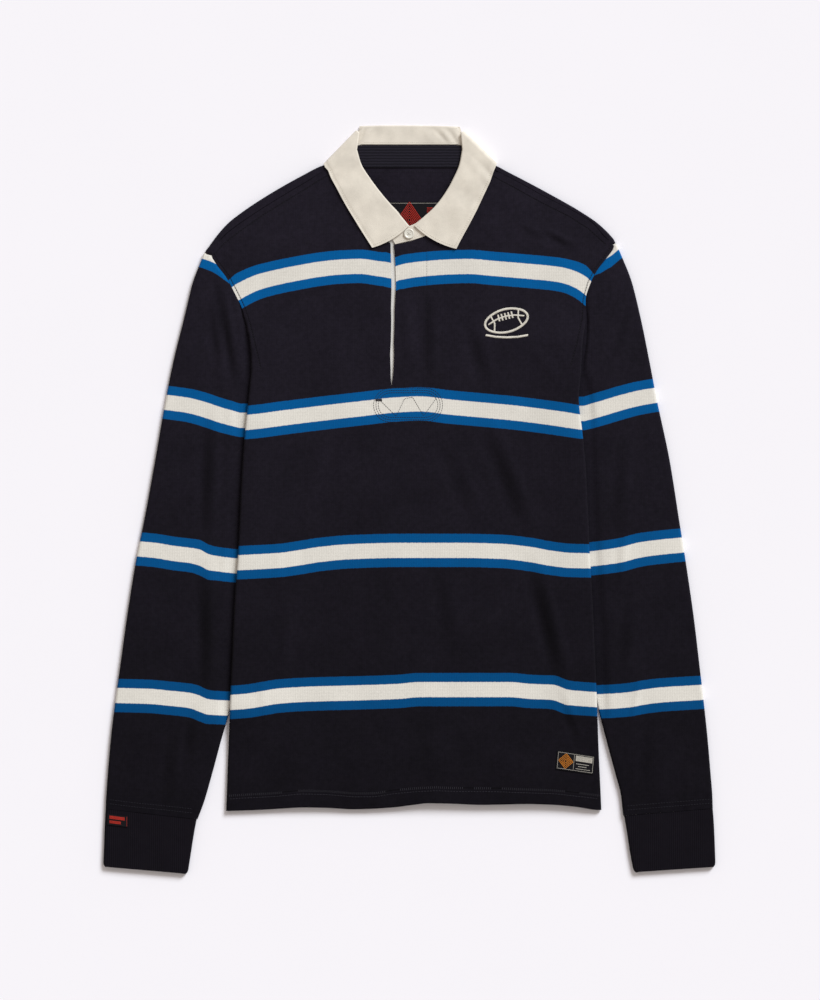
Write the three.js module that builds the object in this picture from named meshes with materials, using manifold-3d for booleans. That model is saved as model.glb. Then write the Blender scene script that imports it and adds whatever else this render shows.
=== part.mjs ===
// Long-sleeved rugby shirt laid flat, front up. Millimetres, +Y to the collar, +Z up from the surface.
// x and y are the garment's plan on the surface, z is the height of the middle of the cloth.
import * as THREE from "three";
import Module from "manifold-3d";

const wasm = await Module();
wasm.setup();

// Cloth walls
const JERSEY = 1.4;
const COLLAR = 1.4;
const TAPE = 1.0;
const TRIM = 0.8;
const SEAM_GAP = 0.3;

// Heights of the middle of the cloth in the laid stack
const FLOOR = JERSEY / 2;
const FRONT_MIDDLE = 4.9;
const COLLAR_AXIS = 4.25;
const COLLAR_RADIUS = 2.45;
const LAYER_STEP = 1.0;

// Real sizes taken from the picture at 1.1 mm to a picture point
const BUTTON_RADIUS = 5.7;
const BUTTON_THICKNESS = 1.8;
const BUTTON_X = -0.5;
const BUTTON_Y = 704;

function table(names, rows) {
  const keys = names.split(" ");
  return rows.map((row) => Object.fromEntries(keys.map((key, i) => [key, row[i]])));
}

const mix = (a, b, t) => a + (b - a) * t;
const clamp = (v, low, high) => Math.min(high, Math.max(low, v));
const smooth = (t) => {
  const c = clamp(t, 0, 1);
  return c * c * (3 - 2 * c);
};
const rad = (degrees) => (degrees * Math.PI) / 180;

// Edge of the front, a row per height. edge is the outermost line seen from above, seam the cut edge
// of the cloth that is turned under, turn how far the edge rolls under, z the height beside the roll,
// end the height of the cut edge.
const FRONT_COLUMNS = "y edge seam turn z end middle";
const FRONT_LEFT = table(FRONT_COLUMNS, [
  [69.5, 201.5, 153.5, 180, 4.5, 0.7, 3.6],
  [97, 200.5, 152.5, 180, 4.5, 0.7, 3.8],
  [125.5, 199.5, 151.5, 180, 4.5, 0.7, 4.2],
  [158, 198.2, 150.2, 180, 6.2, 0.7, 4.6],
  [176, 197.6, 149.6, 180, 8.0, 0.7, 4.9],
  [191.5, 197, 149, 180, 8.6, 0.7, 4.9],
  [246.5, 194.5, 146.5, 180, 8.6, 0.7, 4.9],
  [301.5, 192, 144, 180, 8.6, 0.7, 4.9],
  [356.5, 188, 140, 180, 8.6, 0.7, 4.9],
  [411.5, 185.5, 137.5, 180, 8.6, 0.7, 4.9],
  [450, 183.5, 135.5, 180, 8.6, 0.7, 4.9],
  [476, 181.6, 134.5, 180, 8.6, 0.7, 4.9],
  [487, 180.7, 147, 180, 8.6, 4.8, 4.9],
  [499.5, 179.5, 151.5, 180, 8.6, 4.8, 4.9],
  [521.5, 177, 158, 180, 8.6, 4.8, 4.9],
  [540, 175.2, 162.8, 180, 8.6, 4.8, 4.9],
  [554.5, 173.8, 166.5, 180, 8.6, 4.8, 4.9],
  [570, 174, 170, 180, 8.6, 4.8, 4.9],
  [582, 175.2, 172, 140, 8.4, 4.8, 4.9],
  [594, 177, 176, 90, 7.4, 4.8, 4.9],
  [606, 179.3, 179, 45, 6.0, 4.8, 4.9],
  [622.5, 184.2, 184.2, 0, 5.0, 5.0, 4.9],
  [638, 191.7, 191.7, 0, 4.9, 4.9, 4.9],
  [656, 201.2, 201.2, 0, 4.9, 4.9, 5.0],
  [671, 211.7, 211.7, 0, 4.9, 4.9, 5.2],
  [679.6, 215.5, 215.5, 0, 4.9, 4.9, 5.3],
  [689.5, 213, 213, 0, 4.9, 4.9, 5.4],
  [702, 203, 203, 0, 5.0, 5.0, 5.5],
  [715, 186.5, 186.5, 0, 5.0, 5.0, 5.5],
  [730.5, 163.5, 163.5, 0, 5.1, 5.1, 5.5],
  [749, 133.5, 133.5, 0, 5.2, 5.2, 5.5],
  [760.5, 114, 114, 0, 5.4, 5.4, 5.5],
  [774, 92, 92, 0, 5.5, 5.5, 5.5],
  [781, 77.5, 77.5, 0, 5.5, 5.5, 5.5],
]);
const FRONT_RIGHT = table(FRONT_COLUMNS, [
  [70.5, 211, 163, 180, 4.5, 0.7, 3.6],
  [98, 209.8, 161.8, 180, 4.5, 0.7, 3.8],
  [125.5, 208.5, 160.5, 180, 4.5, 0.7, 4.2],
  [158, 207.2, 159.2, 180, 6.2, 0.7, 4.6],
  [176, 206.6, 158.6, 180, 8.0, 0.7, 4.9],
  [191.5, 206, 158, 180, 8.6, 0.7, 4.9],
  [246.5, 203.5, 155.5, 180, 8.6, 0.7, 4.9],
  [301.5, 201, 153, 180, 8.6, 0.7, 4.9],
  [356.5, 198, 150, 180, 8.6, 0.7, 4.9],
  [411.5, 195.5, 147.5, 180, 8.6, 0.7, 4.9],
  [450, 193.4, 145.4, 180, 8.6, 0.7, 4.9],
  [477, 191, 144, 180, 8.6, 0.7, 4.9],
  [489.5, 189.6, 156.5, 180, 8.6, 4.8, 4.9],
  [502, 188, 161, 180, 8.6, 4.8, 4.9],
  [522.5, 186, 169, 180, 8.6, 4.8, 4.9],
  [541, 187.4, 175.2, 180, 8.6, 4.8, 4.9],
  [556.5, 188.6, 180, 180, 8.6, 4.8, 4.9],
  [570, 189.3, 183.7, 180, 8.6, 4.8, 4.9],
  [585, 190.2, 186.2, 140, 8.4, 4.8, 4.9],
  [598, 191.8, 190, 90, 7.4, 4.8, 4.9],
  [611.5, 193.3, 193, 45, 6.0, 4.8, 4.9],
  [631.5, 193.7, 193.7, 0, 5.0, 5.0, 4.9],
  [649, 198.7, 198.7, 0, 4.9, 4.9, 4.9],
  [664.5, 206.7, 206.7, 0, 4.9, 4.9, 5.0],
  [678.5, 215.2, 215.2, 0, 4.9, 4.9, 5.2],
  [689, 219, 219, 0, 4.9, 4.9, 5.3],
  [702, 213, 213, 0, 4.9, 4.9, 5.4],
  [716, 201, 201, 0, 5.0, 5.0, 5.5],
  [729.5, 179, 179, 0, 5.0, 5.0, 5.5],
  [744.5, 149, 149, 0, 5.1, 5.1, 5.5],
  [760.5, 120, 120, 0, 5.2, 5.2, 5.5],
  [771, 99.5, 99.5, 0, 5.4, 5.4, 5.5],
  [774, 91, 91, 0, 5.5, 5.5, 5.5],
  [781, 77.5, 77.5, 0, 5.5, 5.5, 5.5],
]);

// Edge of the back. Above the armhole it rolls up over the shoulder to the forward shoulder seam.
const BACK_LEFT = table(FRONT_COLUMNS, [
  [69.5, 152.7, 152.7, 0, 0.7, 0.7, 0.7],
  [125.5, 150.7, 150.7, 0, 0.7, 0.7, 0.7],
  [191.5, 148.2, 148.2, 0, 0.7, 0.7, 0.7],
  [301.5, 142.8, 142.8, 0, 0.7, 0.7, 0.7],
  [411.5, 136.3, 136.3, 0, 0.7, 0.7, 0.7],
  [477.5, 133.2, 133.2, 0, 0.7, 0.7, 0.7],
  [487, 145.8, 145.8, 0, 0.7, 0.7, 0.7],
  [521.5, 157.5, 157.5, 0, 0.7, 0.7, 0.7],
  [554.5, 166, 166, 0, 0.7, 0.7, 0.7],
  [582, 172.5, 172.5, 0, 0.7, 0.7, 0.7],
  [606, 178.5, 178.5, 0, 0.7, 0.7, 0.7],
  [622.5, 184, 184, 0, 0.7, 0.7, 0.7],
  [638, 191.4, 191.4, 0, 0.7, 0.7, 0.7],
  [656, 201, 201, 0, 0.7, 0.7, 0.7],
  [671, 211.4, 211.4, 0, 0.7, 0.7, 0.7],
  [679.5, 216.5, 216.5, 0, 0.7, 0.7, 0.7],
  [684, 224.9, 216.6, 180, 0.7, 4.9, 0.7],
  [689.5, 221.3, 213.8, 180, 0.7, 4.9, 0.7],
  [702, 212.6, 203.9, 180, 0.7, 5.0, 0.7],
  [715, 201.1, 187.4, 180, 0.7, 5.0, 0.7],
  [730.5, 181.1, 164.4, 180, 0.7, 5.1, 0.7],
  [749, 152.3, 134.4, 180, 0.7, 5.2, 0.7],
  [760.5, 132.3, 114.9, 180, 1.9, 5.4, 1.9],
  [768, 118.5, 102.7, 180, 2.6, 5.4, 2.6],
  [777.5, 99.8, 85.8, 180, 2.6, 5.5, 2.6],
  [781, 86.8, 79, 180, 2.6, 5.5, 2.6],
  [784.5, 82.8, 78.4, 180, 2.6, 5.5, 2.6],
  [790, 74, 74, 0, 2.6, 2.6, 2.6],
  [795, 71, 71, 0, 2.6, 2.6, 2.6],
  [798.4, 62, 62, 0, 2.6, 2.6, 2.6],
  [801.6, 51, 51, 0, 2.6, 2.6, 2.6],
]);
const BACK_RIGHT = table(FRONT_COLUMNS, [
  [70.5, 162.2, 162.2, 0, 0.7, 0.7, 0.7],
  [125.5, 159.7, 159.7, 0, 0.7, 0.7, 0.7],
  [191.5, 157.2, 157.2, 0, 0.7, 0.7, 0.7],
  [301.5, 151.9, 151.9, 0, 0.7, 0.7, 0.7],
  [411.5, 146.4, 146.4, 0, 0.7, 0.7, 0.7],
  [478.5, 142.6, 142.6, 0, 0.7, 0.7, 0.7],
  [489.5, 155.3, 155.3, 0, 0.7, 0.7, 0.7],
  [522.5, 168.5, 168.5, 0, 0.7, 0.7, 0.7],
  [556.5, 179.5, 179.5, 0, 0.7, 0.7, 0.7],
  [585, 187, 187, 0, 0.7, 0.7, 0.7],
  [611.5, 192.5, 192.5, 0, 0.7, 0.7, 0.7],
  [631.5, 193.5, 193.5, 0, 0.7, 0.7, 0.7],
  [649, 198.4, 198.4, 0, 0.7, 0.7, 0.7],
  [664.5, 206.4, 206.4, 0, 0.7, 0.7, 0.7],
  [678.5, 215, 215, 0, 0.7, 0.7, 0.7],
  [688.5, 219.5, 219.5, 0, 0.7, 0.7, 0.7],
  [694, 226.6, 218.8, 180, 0.7, 4.9, 0.7],
  [702, 220.9, 213.9, 180, 0.7, 4.9, 0.7],
  [709, 215.1, 207.9, 180, 0.7, 5.0, 0.7],
  [716, 207.3, 201.9, 180, 0.7, 5.0, 0.7],
  [729.5, 187, 179.9, 180, 0.7, 5.1, 0.7],
  [744.5, 160.7, 149.9, 180, 0.7, 5.2, 0.7],
  [760.5, 131, 120.9, 180, 1.9, 5.4, 1.9],
  [771, 110.5, 100.4, 180, 2.6, 5.5, 2.6],
  [778, 96, 85.8, 180, 2.6, 5.5, 2.6],
  [781, 88.4, 79.5, 180, 2.6, 5.5, 2.6],
  [784.5, 84.6, 78.6, 180, 2.6, 5.5, 2.6],
  [790, 74, 74, 0, 2.6, 2.6, 2.6],
  [795, 71, 71, 0, 2.6, 2.6, 2.6],
  [798.4, 62, 62, 0, 2.6, 2.6, 2.6],
  [801.6, 51, 51, 0, 2.6, 2.6, 2.6],
]);

// Armhole seam from the shoulder point down to the underarm.
const ARMHOLE_LEFT = table("x y", [
  [-225.5, 683],
  [-218.5, 681.5],
  [-212, 671],
  [-201.5, 656],
  [-192, 638],
  [-184.5, 622.5],
  [-179, 606],
  [-173, 582],
  [-166.5, 554.5],
  [-158, 521.5],
  [-147, 486],
]);
const ARMHOLE_RIGHT = table("x y", [
  [227, 693.5],
  [221, 689],
  [215.5, 678.5],
  [207, 664.5],
  [199, 649],
  [194, 631.5],
  [193, 611.5],
  [187.5, 585],
  [180, 556.5],
  [169, 522.5],
  [156.5, 488.5],
]);

// Sleeve rings from the armhole to the cuff seam: outer and inner edge of the flattened tube, follow is
// how far the ring keeps the armhole's curve, hidden the width that lies low under the front's edge.
const SLEEVE_COLUMNS = "ox oy ix iy follow hidden";
const SLEEVE_LEFT = table(SLEEVE_COLUMNS, [
  [-225.5, 683, -147, 486, 1, 137],
  [-231, 669, -150.3, 484.5, 0.62, 95],
  [-237, 653.5, -151, 483, 0.35, 70],
  [-248, 609.5, -151.5, 480, 0.12, 58],
  [-259, 565.5, -151.5, 477.5, 0, 45],
  [-268, 521.5, -151.5, 472, 0, 37],
  [-279.5, 455.5, -155.5, 430, 0, 32],
  [-291.5, 389.5, -166.5, 367.5, 0, 24],
  [-300.5, 345.5, -174, 325.5, 0, 19],
  [-311, 279.5, -184.5, 264, 0, 13],
  [-318, 229, -191.5, 216, 0, 8],
  [-322.5, 197, -197, 183.5, 0, 3],
  [-328.5, 147.5, -207, 147.5, 0, -9],
  [-331.5, 112, -216.5, 112, 0, -9],
  [-333.5, 84, -226, 79, 0, -9],
  [-334, 72, -233, 60.5, 0, -9],
]);
const SLEEVE_RIGHT = table(SLEEVE_COLUMNS, [
  [227, 693.5, 156.5, 488.5, 1, 150],
  [235, 675, 157, 486.5, 0.62, 103],
  [243.5, 653.5, 157.6, 485, 0.35, 72],
  [254.5, 609.5, 158.5, 482, 0.12, 60],
  [263.5, 565.5, 159, 478.5, 0, 48],
  [272, 521.5, 159.5, 473, 0, 40],
  [286, 455.5, 166, 430, 0, 33],
  [296.5, 389.5, 176, 367.5, 0, 25],
  [303.5, 345.5, 183, 325.5, 0, 20],
  [313, 279.5, 193.5, 264, 0, 14],
  [319, 229, 201, 216, 0, 8],
  [322.5, 199, 207, 185, 0, 3],
  [328, 147.5, 216.5, 147.5, 0, -9],
  [331, 112, 226, 112, 0, -9],
  [333, 87, 232.5, 87, 0, -9],
  [333.5, 72.5, 235, 64.5, 0, -9],
]);
const CUFF_LEFT = table(SLEEVE_COLUMNS, [
  [-334, 71.7, -234, 60.2, 0, -9],
  [-335, 54, -237, 44, 0, -9],
  [-335.8, 32, -240.5, 23, 0, -9],
  [-336.5, 10.5, -243.5, 3.5, 0, -9],
]);
const CUFF_RIGHT = table(SLEEVE_COLUMNS, [
  [333.5, 72.2, 236, 64.1, 0, -9],
  [334.8, 54, 239, 47, 0, -9],
  [335.8, 32, 243, 25, 0, -9],
  [336.5, 11.5, 246.5, 5.5, 0, -9],
]);

// Collar fall rulings: from the roll line to the free edge; bow lets the front edge swing outward.
const FALL_COLUMNS = "rx ry ex ey bow";
const FALL_LEFT = table(FALL_COLUMNS, [
  [0, 712.5, -41, 688.5, 3],
  [-10.5, 725, -51, 705, 1],
  [-20.5, 737.5, -62, 722, 0],
  [-30.5, 750, -71.5, 738, 0],
  [-41, 765.5, -79, 752.5, 0],
  [-51, 781, -85, 763.5, 0],
  [-55, 796.5, -87.5, 771, 0],
]);
const FALL_RIGHT = table(FALL_COLUMNS, [
  [5, 712.5, 49.5, 687, 3.5],
  [15, 722, 56.5, 698.5, 1],
  [25.5, 733, 65, 713, 0],
  [35, 747, 75, 729.5, 0],
  [44, 763.5, 84, 746, 0],
  [51.5, 781, 89.5, 759, 0],
  [55, 796.5, 91, 770, 0],
]);
const FALL_BACK = table(FALL_COLUMNS, [
  [-50, 817.5, -58, 774, 0],
  [-30, 818.7, -34, 771.5, 0],
  [0, 819, 0, 771, 0],
  [30, 818.7, 34, 771.5, 0],
  [50, 817.5, 58, 774, 0],
]);
// Fold lines of the flattened collar beside the neck, from the roll line outwards.
const FOLD_LEFT = { rx: -57.5, ry: 819, ex: -91, ey: 781 };
const FOLD_RIGHT = { rx: 57.5, ry: 819, ex: 94, ey: 780 };

// Collar stand rulings from the under end round the neck to the tab: seam edge, roll edge and height.
const STAND_COLUMNS = "sx sy rx ry z";
const STAND_LEFT = table(STAND_COLUMNS, [
  [-2, 699.5, -2, 708.5, 3.6],
  [-10.5, 698, -8, 716, 3.6],
  [-18.5, 698, -10.5, 725, 3.8],
  [-32, 704.5, -20.5, 737.5, 5.3],
  [-46.5, 719, -30.5, 750, 5.7],
  [-59.5, 736, -41, 765.5, 5.7],
  [-69.5, 755.5, -51, 781, 5.7],
  [-74, 773, -55, 796.5, 5.7],
]);
const STAND_BACK = table(STAND_COLUMNS, [
  [-52, 802.4, -50, 817.5, 2.8],
  [-32, 802.4, -30, 818.7, 2.8],
  [0, 802.4, 0, 819, 2.8],
  [32, 802.4, 30, 818.7, 2.8],
  [52, 802.4, 50, 817.5, 2.8],
]);
const STAND_RIGHT = table(STAND_COLUMNS, [
  [-15.5, 692.5, -21, 702, 5.7],
  [-8, 694.5, -8.5, 710, 5.7],
  [3, 697, 5, 714.5, 5.7],
  [17, 701.5, 15, 722, 5.7],
  [31.5, 709, 25.5, 733, 5.7],
  [46.5, 721, 35, 747, 5.7],
  [59.5, 737, 44, 763.5, 5.7],
  [69.5, 755.5, 51.5, 781, 5.7],
  [74, 773, 55, 796.5, 5.7],
]);

// Neck hole of the front and the wedge where the placket stands open.
const NECK_HOLE = [
  [-19.5, 692],
  [-32.5, 703.6],
  [-47, 718],
  [-60.5, 735.5],
  [-70.5, 755],
  [-75, 772],
  [-76, 790],
  [76, 790],
  [75, 772],
  [70.5, 755],
  [60.5, 736.5],
  [47, 720],
  [31.5, 708],
  [17, 700.6],
  [3, 696.1],
  [-8, 693.5],
];
const PLACKET_WEDGE = [
  [-19.9, 694],
  [-14.6, 694],
  [-14.4, 632],
  [-16.8, 587],
  [-19.4, 537],
  [-20.6, 537],
];

// Share of the width where the columns of a body panel stand, from the left edge to the right edge.
const FRONT_SHARES = [
  0, 0.014, 0.034, 0.06, 0.095, 0.16, 0.25, 0.35, 0.45, 0.55, 0.65, 0.75, 0.84, 0.905, 0.94, 0.966, 0.986, 1,
];
const BACK_SHARES = [0, 0.04, 0.12, 0.25, 0.4, 0.6, 0.75, 0.88, 0.96, 1];
const ROLL_STEPS = 5;
const RETURN_STEPS = 4;
const EDGE_RAMP = 62;

function ridge(x, y, fold) {
  const across = Math.abs((x - fold.x) * Math.cos(rad(fold.lean)) + (y - fold.y) * Math.sin(rad(fold.lean)));
  const along = Math.abs((y - fold.y) * Math.cos(rad(fold.lean)) - (x - fold.x) * Math.sin(rad(fold.lean)));
  return fold.rise * (1 - smooth(across / fold.width)) * (1 - smooth(along / fold.reach));
}

// Soft folds of the body where the stripes bend: long low ridges and troughs.
const BODY_FOLDS = table("x y lean width reach rise", [
  [137, 370, -6, 26, 120, 0.9],
  [166, 205, -9, 22, 90, 0.8],
  [-128, 330, 4, 34, 130, 0.7],
  [-150, 200, 8, 22, 80, 0.7],
  [12, 190, 2, 46, 120, 0.6],
  [62, 480, -3, 40, 110, -0.5],
  [-70, 520, 5, 44, 120, 0.6],
]);
const SLEEVE_FOLDS = table("x y lean width reach rise", [
  [-222, 300, 4, 16, 120, 0.7],
  [-226, 190, 6, 15, 90, 0.6],
  [-262, 420, 8, 22, 110, 0.6],
  [235, 320, -6, 18, 110, 0.6],
  [247, 190, -7, 16, 90, 0.6],
  [268, 440, -9, 22, 100, 0.5],
]);

function foldHeight(folds, x, y) {
  return folds.reduce((sum, fold) => sum + ridge(x, y, fold), 0);
}

// One half of a panel's section beyond its flat part: the roll and the cloth returned under or over it.
function edgePath(row, wall) {
  const turn = rad(row.turn);
  const radius = Math.abs(row.turn === 180 && row.end > row.z ? (row.end - row.z) / 2 : 1.91);
  const bend = row.end > row.z ? 1 : -1;
  const rollLength = Math.max(1.5, radius * turn);
  const points = [];
  for (let i = 1; i <= ROLL_STEPS; i += 1) {
    const share = i / ROLL_STEPS;
    const angle = turn * share;
    const out = turn > 0.01 ? (rollLength / turn) * Math.sin(angle) : rollLength * share;
    const rise = turn > 0.01 ? (rollLength / turn) * (1 - Math.cos(angle)) : 0;
    points.push({ out, z: row.z + bend * rise, turned: 0 });
  }
  const reach = Math.max(0, ...points.map((p) => p.out));
  const flat = row.turn < 90;
  const last = points[points.length - 1];
  const start = flat ? 0 : row.edge - wall / 2 - reach;
  const returned = row.turn === 180 ? Math.max(1, start - row.seam) : 1;
  for (let i = 1; i <= RETURN_STEPS; i += 1) {
    const share = i / RETURN_STEPS;
    const out = last.out + Math.cos(turn) * returned * share;
    const level = last.z + bend * Math.sin(turn) * returned * share;
    const drop = row.turn === 180 ? smooth((returned * share - (returned - 11.5)) / 11.5) : 0;
    points.push({ out, z: mix(level, row.turn === 180 ? row.end : level, drop), turned: share });
  }
  const outermost = Math.max(...points.map((p) => p.out));
  const base = flat ? row.edge - outermost : start;
  return { base, points: points.map((p) => ({ x: base + p.out, z: p.z })) };
}

function frontHeight(row, distance) {
  return mix(row.z, row.middle, smooth(distance / EDGE_RAMP));
}

// Section of a body panel at one row: return, roll, flat part, roll, return.
function panelSection(left, right, wall, folds, shares) {
  const a = edgePath(left, wall);
  const b = edgePath(right, wall);
  const points = [];
  for (const p of [...a.points].reverse()) {
    points.push([-p.x, left.y, p.z]);
  }
  for (const share of shares) {
    const x = mix(-a.base, b.base, share);
    const y = mix(left.y, right.y, share);
    const fromLeft = x + a.base;
    const fromRight = b.base - x;
    const side = fromLeft < fromRight ? left : right;
    const z = frontHeight(side, Math.min(fromLeft, fromRight));
    const keep = smooth((Math.min(fromLeft, fromRight) - 4) / 30);
    points.push([x, y, z + keep * foldHeight(folds, x, y)]);
  }
  for (const p of b.points) {
    points.push([p.x, right.y, p.z]);
  }
  return points;
}

function panelGrid(left, right, wall, folds, shares) {
  return left.map((row, i) => panelSection(row, right[i], wall, folds, shares));
}

// Ring of a flattened tube: lower cloth, outer fold, upper cloth, inner fold.
const SLEEVE_TOP = 4.9;
const SLEEVE_LOW = 2.75;
const TUBE_ROLL = [-60, -30, 0, 30, 60];

function armShares(armhole) {
  const first = armhole[0];
  const last = armhole[armhole.length - 1];
  const dx = last.x - first.x;
  const dy = last.y - first.y;
  const length = Math.hypot(dx, dy);
  return armhole.map((p) => {
    const ax = p.x - first.x;
    const ay = p.y - first.y;
    const along = (ax * dx + ay * dy) / (length * length);
    const off = (ax * -dy + ay * dx) / length;
    return { along, off };
  });
}

function tubeRing(ring, shares, index, options) {
  const dx = ring.ix - ring.ox;
  const dy = ring.iy - ring.oy;
  const length = Math.hypot(dx, dy);
  const ux = dx / length;
  const uy = dy / length;
  const even = smooth(index / 4);
  const plan = (along, off) => [
    ring.ox + ux * along * length - uy * off,
    ring.oy + uy * along * length + ux * off,
  ];
  const topAt = (along) => {
    const fromInner = (1 - along) * length;
    const low = 1 - smooth((fromInner - ring.hidden - 3) / 9);
    return mix(options.top, ring.hidden > 0 ? SLEEVE_LOW : options.top, low);
  };
  const outerRadius = (topAt(0) - FLOOR) / 2;
  const innerRadius = (topAt(1) - FLOOR) / 2;
  const inset = (radius) => (radius + JERSEY / 2) / length;
  const columns = shares.map((share, k) => {
    const raw = mix(share.along, k / (shares.length - 1), even);
    const along = mix(inset(outerRadius), 1 - inset(innerRadius), raw);
    return { along, off: share.off * ring.follow };
  });
  const lower = columns.map((c) => [...plan(c.along, c.off), FLOOR]);
  const upper = columns.map((c) => {
    const [x, y] = plan(c.along, c.off);
    const fromInner = (1 - c.along) * length;
    const fromOuter = c.along * length;
    const keep = smooth((fromInner - ring.hidden - 8) / 20) * smooth((fromOuter - 6) / 20);
    return [x, y, topAt(c.along) + keep * foldHeight(options.folds, x, y)];
  });
  const outer = TUBE_ROLL.map((degrees) => {
    const c = columns[0];
    const along = c.along - (Math.cos(rad(degrees)) * outerRadius) / length;
    return [...plan(along, c.off), FLOOR + outerRadius * (1 + Math.sin(rad(degrees)))];
  });
  const inner = TUBE_ROLL.map((degrees) => {
    const c = columns[columns.length - 1];
    const along = c.along + (Math.cos(rad(-degrees)) * innerRadius) / length;
    return [...plan(along, c.off), FLOOR + innerRadius * (1 + Math.sin(rad(-degrees)))];
  });
  return [...[...lower].reverse(), ...outer, ...upper, ...inner];
}

function tubeGrid(rings, armhole, options) {
  const shares = armShares(armhole);
  return rings.map((ring, i) => tubeRing(ring, shares, options.even ? 9 : i, options));
}

// Rulings of the flattened collar: the layer sits on one side of the shared middle surface.
function foldRulings(fold, length) {
  const dx = fold.ex - fold.rx;
  const dy = fold.ey - fold.ry;
  const full = Math.hypot(dx, dy);
  const side = Math.sign(fold.ex);
  const out = [(-dy / full) * -side, (dx / full) * -side];
  const outward = out[0] * side > 0 ? out : [-out[0], -out[1]];
  const inward = COLLAR_RADIUS + LAYER_STEP + COLLAR / 2;
  return [90, 55, 20, -20, -55, -90].map((degrees) => {
    const shift = COLLAR_RADIUS * Math.cos(rad(degrees)) - inward;
    const normal = [outward[0] * Math.cos(rad(degrees)), outward[1] * Math.cos(rad(degrees)), Math.sin(rad(degrees))];
    const rx = fold.rx + outward[0] * shift;
    const ry = fold.ry + outward[1] * shift;
    return {
      rx,
      ry,
      ex: rx + (dx / full) * length,
      ey: ry + (dy / full) * length,
      z: COLLAR_AXIS + COLLAR_RADIUS * Math.sin(rad(degrees)),
      normal,
      bow: 0,
    };
  });
}

function flatRulings(rows, up) {
  return rows.map((row) => ({
    rx: row.rx,
    ry: row.ry,
    ex: row.ex ?? row.sx,
    ey: row.ey ?? row.sy,
    z: row.z === undefined ? COLLAR_AXIS + up * COLLAR_RADIUS : row.z + up * LAYER_STEP,
    normal: [0, 0, up],
    bow: row.bow ?? 0,
  }));
}

const ROLL_ANGLES = [20, 26, 50, 72, 90];
const LEAF_SHARES = [0.06, 0.16, 0.32, 0.5, 0.68, 0.85, 1];

function stripSection(ruling, layer) {
  const dx = ruling.ex - ruling.rx;
  const dy = ruling.ey - ruling.ry;
  const length = Math.hypot(dx, dy);
  const ux = dx / length;
  const uy = dy / length;
  const at = (distance, lift, bow) => [
    ruling.rx + ux * distance - uy * bow + ruling.normal[0] * lift * layer,
    ruling.ry + uy * distance + ux * bow + ruling.normal[1] * lift * layer,
    ruling.z + ruling.normal[2] * lift * layer,
  ];
  const rolled = ROLL_ANGLES.map((degrees) => {
    const angle = rad(degrees);
    return at(COLLAR / 2 + LAYER_STEP * (1 - Math.cos(angle)), LAYER_STEP * Math.sin(angle), 0);
  });
  const from = COLLAR / 2 + LAYER_STEP;
  const flat = LEAF_SHARES.map((share) => {
    const side = Math.sign(ruling.ex);
    const bow = ruling.bow * 4 * share * (1 - share) * side * -1;
    return at(mix(from, length, share), LAYER_STEP, bow);
  });
  return [...rolled, ...flat];
}

// Closed wall of cloth round a grid of middle points.
function gridNormals(grid, closed) {
  const rows = grid.length;
  const cols = grid[0].length;
  const at = (i, j) => {
    const row = clamp(i, 0, rows - 1);
    const col = closed ? (j + cols) % cols : clamp(j, 0, cols - 1);
    return new THREE.Vector3(...grid[row][col]);
  };
  return grid.map((line, i) =>
    line.map((_, j) => {
      const along = at(i + 1, j).sub(at(i - 1, j));
      const across = at(i, j + 1).sub(at(i, j - 1));
      return across.cross(along).normalize();
    }),
  );
}

function clothWall(grid, thickness, closed = false) {
  const normals = gridNormals(grid, closed);
  const rows = grid.length;
  const cols = grid[0].length;
  const positions = [];
  for (const sign of [1, -1]) {
    grid.forEach((line, i) =>
      line.forEach((p, j) => {
        const n = normals[i][j];
        positions.push(p[0] + (n.x * sign * thickness) / 2);
        positions.push(p[1] + (n.y * sign * thickness) / 2);
        positions.push(p[2] + (n.z * sign * thickness) / 2);
      }),
    );
  }
  const top = (i, j) => i * cols + (j % cols);
  const under = (i, j) => rows * cols + top(i, j);
  const faces = [];
  const quad = (a, b, c, d) => faces.push(a, b, c, a, c, d);
  const spans = closed ? cols : cols - 1;
  for (let i = 0; i < rows - 1; i += 1) {
    for (let j = 0; j < spans; j += 1) {
      quad(top(i, j), top(i, j + 1), top(i + 1, j + 1), top(i + 1, j));
      quad(under(i, j), under(i + 1, j), under(i + 1, j + 1), under(i, j + 1));
    }
  }
  for (let j = 0; j < spans; j += 1) {
    quad(under(0, j), under(0, j + 1), top(0, j + 1), top(0, j));
    quad(top(rows - 1, j), top(rows - 1, j + 1), under(rows - 1, j + 1), under(rows - 1, j));
  }
  if (!closed) {
    for (let i = 0; i < rows - 1; i += 1) {
      quad(top(i, 0), top(i + 1, 0), under(i + 1, 0), under(i, 0));
      quad(under(i, cols - 1), under(i + 1, cols - 1), top(i + 1, cols - 1), top(i, cols - 1));
    }
  }
  return { positions, faces };
}

function solidOf(wall) {
  return new wasm.Manifold(
    new wasm.Mesh({
      numProp: 3,
      vertProperties: new Float32Array(wall.positions),
      triVerts: new Uint32Array(wall.faces),
    }),
  );
}

function outlinePrism(outline, bottom, top) {
  const signed = outline.reduce((sum, p, i) => {
    const q = outline[(i + 1) % outline.length];
    return sum + p[0] * q[1] - q[0] * p[1];
  }, 0);
  const ordered = signed > 0 ? outline : [...outline].reverse();
  return wasm.Manifold.extrude([ordered], top - bottom).translate([0, 0, bottom]);
}

function geometryOf(solid) {
  const mesh = solid.getMesh();
  const geometry = new THREE.BufferGeometry();
  geometry.setAttribute("position", new THREE.BufferAttribute(new Float32Array(mesh.vertProperties), 3));
  geometry.setIndex(new THREE.BufferAttribute(new Uint32Array(mesh.triVerts), 1));
  geometry.computeVertexNormals();
  return geometry;
}

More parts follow.
